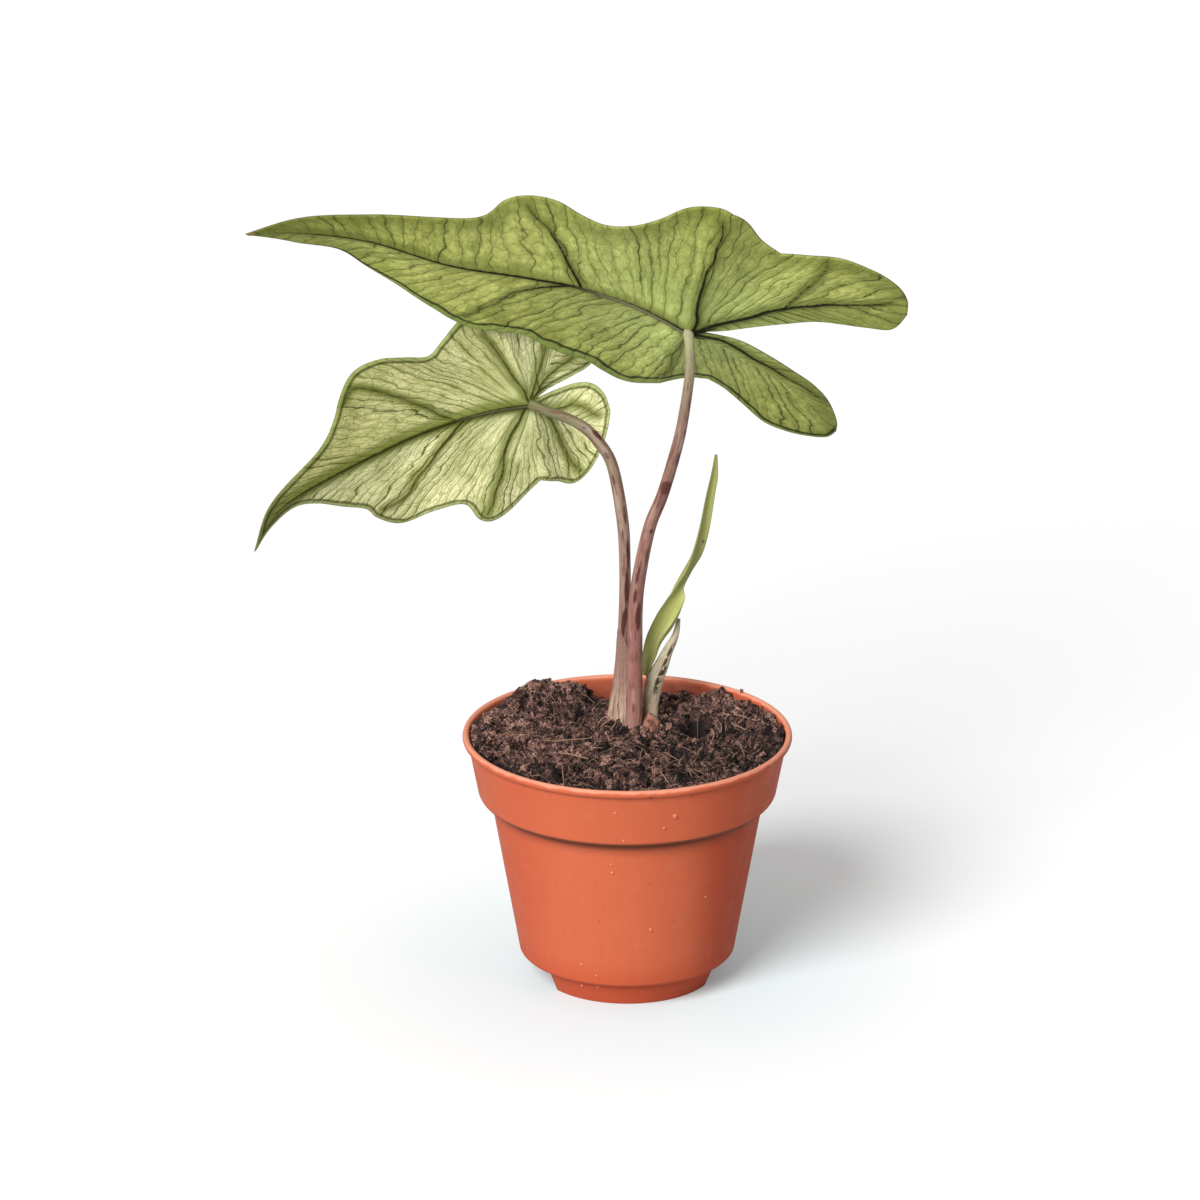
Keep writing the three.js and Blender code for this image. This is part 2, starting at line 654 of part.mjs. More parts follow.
const plant = new THREE.Group();
const pieces = {
  pot: [potGeometry(), materials.potPlastic],
  soil: [soilGeometry(), materials.potting],
  corm: [ovalGeometry(corm.centre, corm.radii, corm.scarDepth), materials.cormSkin],
  corm_bud: [ovalGeometry(bud.centre, bud.radii, 0), materials.cormSkin],
  large_leaf_petiole: [stemGeometry(largeStem, largeLeaf), materials.petiole],
  small_leaf_petiole: [stemGeometry(smallStem, smallLeaf), materials.petiole],
  new_leaf_petiole: [stemGeometry(newStem), materials.paleSheath],
  basal_sheath: [sheathGeometry(), materials.paleSheath],
  large_leaf_blade: [bladeGeometry(largeLeaf), materials.largeBlade],
  small_leaf_blade: [bladeGeometry(smallLeaf), materials.smallBlade],
  new_leaf_blade: [newBladeGeometry(), materials.youngBlade],
};
for (const [name, [geometry, material]] of Object.entries(pieces)) {
  const mesh = new THREE.Mesh(geometry, material);
  mesh.name = name;
  plant.add(mesh);
}

// Stand the plant's box on the origin.
const box = new THREE.Box3().setFromObject(plant);
const centre = box.getCenter(new THREE.Vector3());
plant.position.set(-centre.x, -centre.y, -box.min.z);

export default plant;
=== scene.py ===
# A young potted alocasia: fine surfaces, finishes, floor, light and camera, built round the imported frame.
# Shapes are worked out in mm round the pot's axis, with z up from the table. toFrame turns them into metres.
import math

import bpy
import numpy as np
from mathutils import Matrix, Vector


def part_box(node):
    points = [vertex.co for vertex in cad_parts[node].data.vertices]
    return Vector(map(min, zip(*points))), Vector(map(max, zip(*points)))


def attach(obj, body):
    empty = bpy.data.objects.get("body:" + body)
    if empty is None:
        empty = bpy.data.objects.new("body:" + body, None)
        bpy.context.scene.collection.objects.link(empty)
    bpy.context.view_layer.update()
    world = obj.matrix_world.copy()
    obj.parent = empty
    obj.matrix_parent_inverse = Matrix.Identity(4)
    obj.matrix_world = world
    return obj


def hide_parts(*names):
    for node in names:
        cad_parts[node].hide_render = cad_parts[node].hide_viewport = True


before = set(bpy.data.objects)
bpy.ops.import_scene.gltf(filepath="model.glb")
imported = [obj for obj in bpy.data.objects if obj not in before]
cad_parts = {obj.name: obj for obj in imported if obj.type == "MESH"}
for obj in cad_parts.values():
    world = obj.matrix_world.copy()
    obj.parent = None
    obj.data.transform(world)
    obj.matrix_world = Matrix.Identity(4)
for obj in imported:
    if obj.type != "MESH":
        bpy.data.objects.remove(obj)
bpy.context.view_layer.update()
potLow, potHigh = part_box("pot")
potAxis = np.array([(potLow.x + potHigh.x) / 2, (potLow.y + potHigh.y) / 2, 0.0])
millimetre = 0.001
print("frame loaded, pot axis at", potAxis.round(5))


def toFrame(points):  # mm round the pot's axis to metres in the frame
    return np.asarray(points, float) * millimetre + potAxis


def show(name, data):  # a new object in the scene
    item = bpy.data.objects.new(name, data)
    bpy.context.scene.collection.objects.link(item)
    return item


# The camera stands where the photograph was taken from, and looks down at the plant.
view = {"place": (-4.96, -1305.58, 552.79), "below": 20.2, "lens": 231.2}

camera = show("camera", bpy.data.cameras.new("camera"))
camera.data.lens = view["lens"]
camera.location = toFrame(view["place"])
camera.rotation_euler = (math.radians(90 - view["below"]), 0, 0)
bpy.context.scene.camera = camera


# Shapes shared by all the pieces.
def ease(t):  # 3t^2 - 2t^3
    return t * t * (3 - 2 * t)


def mixed(a, b, share):
    return a + (b - a) * share


def latticeValue(i, j):  # a fixed random value between 0 and 1 for each point of a unit lattice
    wave = np.sin(i * 127.1 + j * 311.7) * 43758.5453
    return wave - np.floor(wave)


def lumps(x, y):  # smooth noise: the lattice's values, eased between its points
    i, j = np.floor(x), np.floor(y)
    s, t = ease(x - i), ease(y - j)
    low = mixed(latticeValue(i, j), latticeValue(i + 1, j), s)
    high = mixed(latticeValue(i, j + 1), latticeValue(i + 1, j + 1), s)
    return mixed(low, high, t)


# One round crumb in each cell of the lattice: half a ball's height, by the distance from the crumb's middle.
def pebbles(x, y):
    i, j = np.floor(x), np.floor(y)
    best = np.zeros_like(x)
    for di in (-1, 0, 1):
        for dj in (-1, 0, 1):
            a, b = i + di, j + dj
            radius = 0.45 + 0.4 * latticeValue(a + 5, b + 9)
            away = np.hypot(x - a - latticeValue(a, b), y - b - latticeValue(a + 31, b + 17)) / radius
            best = np.maximum(best, radius * np.sqrt(np.clip(1 - away * away, 0, 1)))
    return best


def smoothLine(points, t):  # uniform Catmull-Rom curve through the points, t from 0 to 1 over the whole row
    points = np.asarray(points, float)
    last = len(points) - 1
    place = np.clip(t, 0, 1) * last
    k = np.minimum(place.astype(int), last - 1)
    f = (place - k)[:, None]
    a, b, c, d = (points[np.clip(k + step, 0, last)] for step in (-1, 0, 1, 2))
    return 0.5 * (2 * b + (c - a) * f + (2 * a - 5 * b + 4 * c - d) * f**2 + (3 * b - a - 3 * c + d) * f**3)


def unit(vectors):
    vectors = np.asarray(vectors, float)
    return vectors / np.linalg.norm(vectors, axis=-1, keepdims=True)


def gridQuads(rows, columns, start=0, wrap=False):  # the quads of a grid of points stored row by row
    i = np.arange(rows - 1)[:, None]
    j = np.arange(columns if wrap else columns - 1)[None, :]
    k = (j + 1) % columns
    quads = [i * columns + j, i * columns + k, (i + 1) * columns + k, (i + 1) * columns + j]
    return np.stack([q + 0 * (i + j) for q in quads], -1).reshape(-1, 4) + start


def fan(ring, centre):  # triangles from a ring of point numbers to a centre, as quads that name it twice
    ring = np.asarray(ring)
    middle = np.full_like(ring, centre)
    return np.stack([ring, np.roll(ring, -1), middle, middle], -1)


def outward(points, quads):  # turns all faces round where the closed shell's volume comes out negative
    a, b, c, d = (points[quads[:, i]] for i in range(4))
    volume = (a * np.cross(b, c)).sum() + (a * np.cross(c, d)).sum()
    return quads[:, ::-1] if volume < 0 else quads


def closedStrip(rings, start=None):  # the skin of a row of closed rings, with a fan over each end
    count, sides, _ = rings.shape
    start = rings[0].mean(0) if start is None else start
    points = np.concatenate([rings.reshape(-1, 3), start[None], rings[-1].mean(0)[None]])
    end = count * sides
    quads = np.concatenate([gridQuads(count, sides, wrap=True), fan(np.arange(sides)[::-1], end),
                            fan(np.arange(end - sides, end), end + 1)])
    return points, outward(points, quads)


# Points in the same step of a fine grid are one. Its shift keeps round numbers off its borders.
weld = {"stepsPerMm": 5000, "shift": 0.37}


# Welds equal points, turns quads with a doubled corner into triangles, and writes the mesh in one go.
# values holds a number for each point, and lanes a pair for each point that stays apart at a weld.
def addPiece(name, points, quads, materials, slot, replaces=(), values=None, lanes=None, faceKinds=None):
    points = np.asarray(points, float)
    steps = (points * weld["stepsPerMm"] + weld["shift"]).astype(np.int64)
    _, first, same = np.unique(steps, axis=0, return_index=True, return_inverse=True)
    same = same.ravel()
    corners = same[quads]
    repeated = corners == np.roll(corners, -1, axis=1)
    doubled = repeated.sum(1)
    keepQuad = doubled == 0
    keepTriangle = (doubled == 1) & (corners[:, 0] != corners[:, 2]) & (corners[:, 1] != corners[:, 3])
    picked = np.array([[1, 2, 3], [0, 2, 3], [0, 1, 3], [0, 1, 2]])[repeated[keepTriangle].argmax(1)]
    triangles = np.take_along_axis(quads[keepTriangle], picked, 1)
    grid = np.concatenate([quads[keepQuad].ravel(), triangles.ravel()])
    counts = np.concatenate([np.full(keepQuad.sum(), 4), np.full(keepTriangle.sum(), 3)])
    mesh = bpy.data.meshes.new(name)
    mesh.vertices.add(len(first))
    mesh.vertices.foreach_set("co", toFrame(points[first]).astype(np.float32).ravel())
    mesh.loops.add(len(grid))
    mesh.loops.foreach_set("vertex_index", same[grid].astype(np.int32))
    mesh.polygons.add(len(counts))
    mesh.polygons.foreach_set("loop_start", (np.cumsum(counts) - counts).astype(np.int32))
    mesh.polygons.foreach_set("use_smooth", np.ones(len(counts), bool))
    if faceKinds is not None:
        kinds = np.concatenate([faceKinds[keepQuad], faceKinds[keepTriangle]])
        mesh.polygons.foreach_set("material_index", kinds.astype(np.int32))
    mesh.update(calc_edges=True)
    for label, numbers in (values or {}).items():
        kind, field = ("FLOAT", "value") if numbers.ndim == 1 else ("FLOAT_VECTOR", "vector")
        written = mesh.attributes.new(label, kind, "POINT")
        written.data.foreach_set(field, numbers[first].astype(np.float32).ravel())
    if lanes is not None:
        flat = np.column_stack([lanes[grid], np.zeros(len(grid))]).astype(np.float32).ravel()
        mesh.attributes.new("lanes", "FLOAT_VECTOR", "CORNER").data.foreach_set("vector", flat)
    mesh.validate()
    for material in materials:
        mesh.materials.append(material)
    piece = show(name, mesh)
    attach(piece, "root")
    if replaces:
        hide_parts(*replaces)
    print(f"{name}: {len(counts)} faces")
    return piece


def join(shells):  # several (points, quads) as one
    starts = np.cumsum([0] + [len(points) for points, _ in shells])
    points = np.concatenate([points for points, _ in shells])
    return points, np.concatenate([quads + start for (_, quads), start in zip(shells, starts)])


# A tube carried along a path: at each step an ellipse square to it, width across and depth through, times a
# swell for each side. Its ends are closed by a fan. The last ring may be cut parallel to a plane.
def tube(path, widths, depths, sides, swell=1.0, cutTo=None):
    along = unit(np.gradient(path, axis=0))
    across = unit(np.cross(along, (0, 1, 0)))
    through = np.cross(across, along)
    turn = fullTurn(sides)
    swell = np.broadcast_to(swell, (len(path), sides))[..., None]
    offset = (across[:, None] * (np.cos(turn)[:, None] * widths[:, None, None] / 2)
              + through[:, None] * (np.sin(turn)[:, None] * depths[:, None, None] / 2)) * swell
    rings = path[:, None] + offset
    if cutTo is not None:
        rings[-1] -= along[-1] * ((offset[-1] @ cutTo) / (along[-1] @ cutTo))[:, None]
    return closedStrip(rings, path[0])


def fullTurn(sides):  # evenly spaced angles once round
    return np.linspace(0, 2 * np.pi, sides, endpoint=False)


def stationLine(piece):  # a smooth row of steps through a piece's stations
    return smoothLine(piece["stations"], np.linspace(0, 1, piece["steps"]))


def pathLength(path):  # mm along a path at each of its points
    return np.concatenate([[0], np.cumsum(np.linalg.norm(np.diff(path, axis=0), axis=1))])


def alongShare(shares, sides):  # each ring's share for its points, then 0 and 1 for the ends' middles
    return np.append(np.repeat(shares, sides), [0, 1])


def roundSkin(side, deep, length):  # places on a stem's skin, round it and along it in mm, and for its ends
    skin = np.stack(np.broadcast_arrays(side * 1.3, deep * 1.3, length[:, None]), -1).reshape(-1, 3)
    return np.concatenate([skin, skin[:1], skin[-1:]])


# Helpers for the finishes.
class Field:  # an output of a node, which varies over the surface; each sum on it makes one more node
    def __init__(self, socket):
        self.socket = socket

    def __add__(self, other):
        return calc("ADD", self, other)

    def __sub__(self, other):
        return calc("SUBTRACT", self, other)

    def __rsub__(self, other):
        return calc("SUBTRACT", other, self)

    def __mul__(self, other):
        return calc("MULTIPLY", self, other)

    def __truediv__(self, other):
        return calc("DIVIDE", self, other)

    def __rtruediv__(self, other):
        return calc("DIVIDE", other, self)

    def sibling(self, output):  # another output of the same node
        return Field(self.socket.node.outputs[output])


# A node with its settings, in the tree of the fields that feed it. Gives one of its outputs.
def put(kind, inputs, output=0, tree=None, **settings):
    tree = tree or next(value.socket.id_data for value in inputs.values() if isinstance(value, Field))
    node = tree.nodes.new("ShaderNode" + kind)
    for key, value in settings.items():
        setattr(node, key, value)
    for key, value in inputs.items():
        if isinstance(value, Field):
            tree.links.new(value.socket, node.inputs[key])
        else:
            node.inputs[key].default_value = value
    return Field(node.outputs[output])


def calc(operation, a, b=0.0):
    return put("Math", {0: a, 1: b}, operation=operation)


def vectors(operation, a, b, output=0):
    return put("VectorMath", {0: a, 1: b}, output, operation=operation)


def window(value, low, high, start=0.0, end=1.0):  # start below low, end above high, eased between them
    pins = {"Value": value, "From Min": low, "From Max": high, "To Min": start, "To Max": end}
    return put("MapRange", pins, interpolation_type="SMOOTHSTEP")


def fall(value, low, high, start=1.0):  # start below low, 0 above high
    return window(value, low, high, start, 0.0)


def paint(mask, under, over):  # under where the mask is 0, over where it is 1
    under, over = (tone if isinstance(tone, Field) else (*tone, 1) for tone in (under, over))
    return put("Mix", {0: mask, 6: under, 7: over}, 2, data_type="RGBA")


def layers(colour, tones, steps):  # tones painted over a colour one after the other, each by its mask
    for mask, key in steps:
        colour = paint(mask, colour, tones[key])
    return colour


def noise(place, scale, detail=2.0, rough=0.5):
    return put("TexNoise", {"Vector": place, "Scale": scale, "Detail": detail, "Roughness": rough})


def reading(tree, label, output="Fac"):  # a value that is written on the mesh
    return put("Attribute", {}, output, tree, attribute_name=label)


def readings(tree, *labels):
    return [reading(tree, label) for label in labels]


def stretched(place, x, y, z):  # a place in mm, drawn out by a factor along each axis
    return put("Mapping", {"Vector": place, "Scale": (x, y, z)})


def parts(place):  # x, y and z
    x = put("SeparateXYZ", {0: place})
    return x, x.sibling(1), x.sibling(2)


def placeInMm(tree):  # Object coordinates, in mm
    return vectors("MULTIPLY", put("TexCoord", {}, "Object", tree), (1000, 1000, 1000))


def newGroup(name, inputs):  # a node group and the fields of its inputs
    group = bpy.data.node_groups.new(name, "ShaderNodeTree")
    for label, value in inputs.items():
        kind = "NodeSocketFloat" if isinstance(value, float) else "NodeSocketVector"
        group.interface.new_socket(label, in_out="INPUT", socket_type=kind).default_value = value
    given = group.nodes.new("NodeGroupInput").outputs
    return group, [Field(given[label]) for label in inputs]


def give(group, **outputs):  # the group, with its outputs fed
    for label in outputs:
        group.interface.new_socket(label, in_out="OUTPUT", socket_type="NodeSocketFloat")
    made = group.nodes.new("NodeGroupOutput").inputs
    for label, field in outputs.items():
        group.links.new(field.socket, made[label])
    return group


def use(group, **inputs):  # a group's node, and its first output
    return put("Group", inputs, node_tree=group)


def wavered(place, amount, scale):  # a place moved about by noise
    shift = put("TexNoise", {"Vector": place, "Scale": scale, "Detail": 2.0}, "Color")
    shift = vectors("SUBTRACT", shift, (0.5, 0.5, 0.5))
    return vectors("ADD", place, put("VectorMath", {0: shift, "Scale": amount}, operation="SCALE"))


def makeNetGroup():  # a net of fine veins: the edges between cells some mm apart, and a tone for each
    group, (place, spacing, waver, width) = newGroup(
        "vein net", {"Place": (0, 0, 0), "Spacing": 2.0, "Waver": 1.0, "Width": 0.3})
    pins = {"Vector": wavered(place, waver, 0.5), "Scale": 1.0 / spacing}
    edge = put("TexVoronoi", pins, "Distance", feature="DISTANCE_TO_EDGE")
    tone = put("SeparateColor", {0: put("TexVoronoi", pins, "Color")})
    return give(group, Line=fall(edge * spacing, 0.0, width), Tone=tone)


# Side veins that run beside each other, at the whole numbers of the lanes. Each has a strength of its own.
# Squeeze says how close the lanes have come: every other vein fades where it falls under a half, then half of
# the rest.
def makeLaneGroup():
    group, (lanes, squeeze, spacing, waver, width) = newGroup(
        "vein lanes", {"Lanes": (0, 0, 0), "Squeeze": 1.0, "Spacing": 3.0, "Waver": 1.0, "Width": 0.3})
    number = parts(wavered(wavered(lanes, waver, 0.16), waver * 0.14, 0.6))[0] / spacing
    nearest = calc("ROUND", number)
    gap = calc("ABSOLUTE", number - nearest) * spacing * squeeze
    strength = put("TexWhiteNoise", {"W": nearest}, "Value", noise_dimensions="1D")
    strength = window(strength, 0.0, 1.0, 0.4, 1.0)
    odd = calc("FRACT", nearest * 0.5) * 2.0
    second = fall(calc("ABSOLUTE", calc("FRACT", nearest * 0.25) - 0.5), 0.0, 0.2)
    for chosen, low, high in ((odd, 0.45, 0.7), (second, 0.2, 0.36)):
        strength = strength * (1.0 - chosen * fall(squeeze, low, high))
    return give(group, Line=fall(gap, 0.0, width) * strength, Halo=fall(gap, 0.0, width * 5.0) * strength)


def makeFleckGroup():  # flecks: noise above a level, with a soft border
    group, (place, scale, level, border) = newGroup(
        "flecks", {"Place": (0, 0, 0), "Scale": 1.0, "Level": 0.6, "Border": 0.05})
    return give(group, Mask=window(noise(place, scale, 3.0), level, level + border))


def makeGrainGroup():  # fine and coarse noise added up, as a height between 0 and 1
    group, (place, coarse, fine, share) = newGroup(
        "grain", {"Place": (0, 0, 0), "Coarse": 0.4, "Fine": 4.0, "Share": 0.5})
    pins = {0: share, 2: noise(place, coarse, 3.0), 3: noise(place, fine)}
    return give(group, Height=put("Mix", pins, data_type="FLOAT"))


veinNet, veinLanes, flecks, grain = makeNetGroup(), makeLaneGroup(), makeFleckGroup(), makeGrainGroup()


def flecked(place, scale, level, border=0.1):
    return use(flecks, Place=place, Scale=scale, Level=level, Border=border)


def grained(place, coarse, fine, share):
    return use(grain, Place=place, Coarse=coarse, Fine=fine, Share=share)


def newMaterial(name, roughness, specular):  # only a shader, with values that are the same all over
    material = bpy.data.materials.new(name)
    material.use_nodes = True
    inputs = material.node_tree.nodes["Principled BSDF"].inputs
    inputs["Roughness"].default_value = roughness
    inputs["Specular IOR Level"].default_value = specular
    return material, material.node_tree


def finishOff(material, colour, height, bumpDepth, roughness=None):  # colour, relief in mm and roughness
    tree = material.node_tree
    bump = put("Bump", {"Height": height, "Distance": bumpDepth * millimetre, "Strength": 1.0})
    for key, field in (("Base Color", colour), ("Normal", bump), ("Roughness", roughness)):
        if field is not None:
            tree.links.new(field.socket, tree.nodes["Principled BSDF"].inputs[key])
    return material


# A leaf's underside. Panels of two tones with streaks along the lanes come first, darker towards the margin
# and a paler green near the stalk. Then come fine veins, lanes with a soft halo, the green beside the main
# veins, the band and its dark vein along the margin, the main veins, which die away towards the tip, and the
# ridge that the petiole runs out into. At the end the tone written on the mesh paints light and shade on it:
# lighter or darker, and less blue where it is shaded.
def makeUnderside(name, tones, sizes):
    material, tree = newMaterial(name, 0.55, 0.05)
    place, lanes = placeInMm(tree), reading(tree, "lanes", "Vector")
    veinGap, edgeGap, midGap, fromStalk = readings(tree, "veinGap", "edgeGap", "midGap", "fromStalk")
    squeeze, bandWidth, tone = readings(tree, "squeeze", "bandWidth", "tone")
    pins = {"Lanes": lanes, "Squeeze": squeeze, "Waver": sizes["waver"]}
    lane = use(veinLanes, **pins, Spacing=sizes["lane"], Width=sizes["laneWidth"])
    between = use(veinLanes, **pins, Spacing=sizes["lane"] * 0.37, Width=sizes["laneWidth"] * 0.6)
    net = use(veinNet, Place=stretched(lanes, 1.0, sizes["netDrawn"], 1.0), Spacing=sizes["net"], Waver=1.3,
              Width=sizes["netWidth"])
    fine = use(veinNet, Place=place, Spacing=sizes["fine"], Waver=0.4, Width=sizes["fine"] * 0.3)
    streak = noise(stretched(lanes, 1.0, 0.3, 1.0), 0.7, 4.0, 0.6) * 0.5 + noise(place, 0.9, 4.0, 0.6)
    fadeOut = window(fromStalk, sizes["tip"] - 16.0, sizes["tip"] - 2.0, 1.0, 0.15)
    netMask = net * window(squeeze, 0.2, 0.65, 0.3 * sizes["netShare"], sizes["netShare"])
    fading = window(noise(place, 0.3, 3.0), 0.3, 0.6, 0.5, 1.0) * window(squeeze, 0.12, 0.5, 0.45, 1.0)
    laneMask = lane * fading * sizes["laneShare"]
    bandGap = edgeGap / bandWidth + (noise(place, 0.3) - 0.5) * 0.7
    banded = window(bandWidth, 0.2, 0.5)
    bandAway = calc("ABSOLUTE", bandGap - 1.0) * bandWidth
    ragged = veinGap + noise(place, 1.2, 3.0) * 0.3
    ridge = fall(fromStalk, sizes["ridge"] * 0.5, sizes["ridge"], 0.95)
    colour = layers(tones["glow"], tones, [
        (window(streak, 0.57, 0.93), "panel"),
        (window(noise(place, 0.16, 4.0, 0.6), 0.42, 0.66, 0.0, 0.8), "shade"),
        (fall(edgeGap, 0.5, sizes["rimReach"], sizes["rimShade"]), "shade"),
        (net.sibling("Tone") * sizes["toneShare"], "shade"),
        (fall(fromStalk, 3.0, sizes["coolReach"], 0.55), "cool"),
        (lane.sibling("Halo") * sizes["laneHalo"], "halo"),
        (fall(veinGap, 0.0, sizes["halo"], sizes["haloShare"]), "halo"),
        (fall(midGap, 0.5, sizes["midHalo"], sizes["midShare"]) * fadeOut, "halo"),
        (fine * sizes["fineShare"], "net"),
        (netMask, "net"),
        (between * sizes["betweenShare"], "net"),
        (laneMask, "lane"),
        (fall(bandGap, 0.8, 1.0, sizes["bandTint"]) * banded, "band"),
        (fall(bandAway, 0.1, bandWidth * 0.16 + 0.26, sizes["bandShare"]) * banded, "vein"),
        (fall(ragged, -0.15, 0.5, sizes["besideShare"]) * fadeOut, "lane"),
        (fall(ragged, -0.24, -0.04) * fadeOut, "vein"),
        (fall(midGap / sizes["ridgeHalf"], 0.7, 1.2) * ridge, "ridge"),
        (fall(edgeGap, 0.0, 0.22, 0.7), "rim"),
        (window(fromStalk, sizes["tip"] - 2.5, sizes["tip"], 0.0, 0.8), "tip"),
    ])
    blue = calc("MINIMUM", tone, calc("POWER", tone, 1.6))  # shaded skin is less blue
    colour = vectors("MULTIPLY", colour, put("CombineXYZ", {0: tone, 1: tone, 2: blue}))
    relief = laneMask * 0.6 - lane.sibling("Halo") * 0.4 - netMask * 0.5 + grained(place, 0.5, 3.0, 0.3) * 0.9
    return finishOff(material, colour, relief, 0.2)


def makeUpperSide(name, tones, sizes):  # the darker, glossier upper side, with paler sunken veins
    material, tree = newMaterial(name, 0.48, 0.35)
    place, lanes = placeInMm(tree), reading(tree, "lanes", "Vector")
    veinGap, edgeGap, squeeze = readings(tree, "veinGap", "edgeGap", "squeeze")
    lane = use(veinLanes, Lanes=lanes, Squeeze=squeeze, Spacing=sizes["lane"], Waver=sizes["waver"],
               Width=sizes["laneWidth"])
    net = use(veinNet, Place=place, Spacing=sizes["net"], Waver=0.9, Width=sizes["netWidth"])
    colour = layers(tones["leaf"], tones, [
        (window(noise(place, 0.14, 3.0), 0.35, 0.7), "deep"), (fall(veinGap, 0.2, 2.6, 0.6), "silver"),
        (net * 0.25, "deep"), (lane * 0.4, "silver"), (fall(veinGap, -0.05, 0.3), "vein"),
        (fall(edgeGap, 0.0, 0.35, 0.6), "rim"),
    ])
    return finishOff(material, colour, grained(place, 0.4, 3.0, 0.3) - lane * 0.3, 0.1)


largeTones = {
    "panel": (0.41, 0.445, 0.112), "shade": (0.24, 0.265, 0.06), "glow": (0.58, 0.63, 0.19),
    "halo": (0.15, 0.18, 0.04), "net": (0.13, 0.145, 0.03), "lane": (0.066, 0.076, 0.014),
    "vein": (0.014, 0.014, 0.006), "band": (0.18, 0.25, 0.066), "rim": (0.11, 0.1, 0.04),
    "ridge": (0.17, 0.15, 0.09), "tip": (0.25, 0.15, 0.07), "cool": (0.49, 0.6, 0.225),
}
largeSizes = {
    "lane": 2.9, "waver": 5.5, "laneWidth": 0.3, "laneShare": 1.0, "laneHalo": 0.5, "betweenShare": 0.2,
    "net": 2.2, "netDrawn": 0.6, "netWidth": 0.24, "netShare": 0.3, "fine": 0.5, "fineShare": 0.1,
    "toneShare": 0.2, "halo": 1.6, "midHalo": 2.8, "midShare": 0.5, "haloShare": 0.7, "rimReach": 6.0,
    "rimShade": 0.7, "bandTint": 0.6, "bandShare": 0.9, "besideShare": 0.5, "ridgeHalf": 0.38,
    "ridge": 24.0, "tip": 81.0, "coolReach": 34.0,
}
smallTones = {
    "panel": (0.75, 0.745, 0.4), "shade": (0.54, 0.56, 0.25), "glow": (0.87, 0.855, 0.49),
    "halo": (0.15, 0.185, 0.036), "net": (0.2, 0.21, 0.05), "lane": (0.09, 0.1, 0.018),
    "vein": (0.036, 0.042, 0.006), "band": (0.28, 0.33, 0.1), "rim": (0.15, 0.14, 0.05),
    "ridge": (0.1, 0.1, 0.055), "tip": (0.2, 0.21, 0.06), "cool": (0.66, 0.7, 0.37),
}
smallSizes = {
    "lane": 2.2, "waver": 4.5, "laneWidth": 0.3, "laneShare": 1.0, "laneHalo": 0.35, "betweenShare": 0.45,
    "net": 1.6, "netDrawn": 0.65, "netWidth": 0.16, "netShare": 0.42, "fine": 0.6, "fineShare": 0.2,
    "toneShare": 0.1, "halo": 1.4, "midHalo": 2.8, "midShare": 0.75, "haloShare": 0.75, "rimReach": 4.0,
    "rimShade": 0.15, "besideShare": 0.5, "bandTint": 0.7, "bandShare": 0.75, "ridgeHalf": 0.22,
    "ridge": 14.0, "tip": 58.0, "coolReach": 12.0,
}
upperTones = {
    "leaf": (0.11, 0.2, 0.04), "deep": (0.06, 0.13, 0.025), "silver": (0.2, 0.3, 0.11),
    "vein": (0.28, 0.36, 0.14), "rim": (0.13, 0.1, 0.05),
}
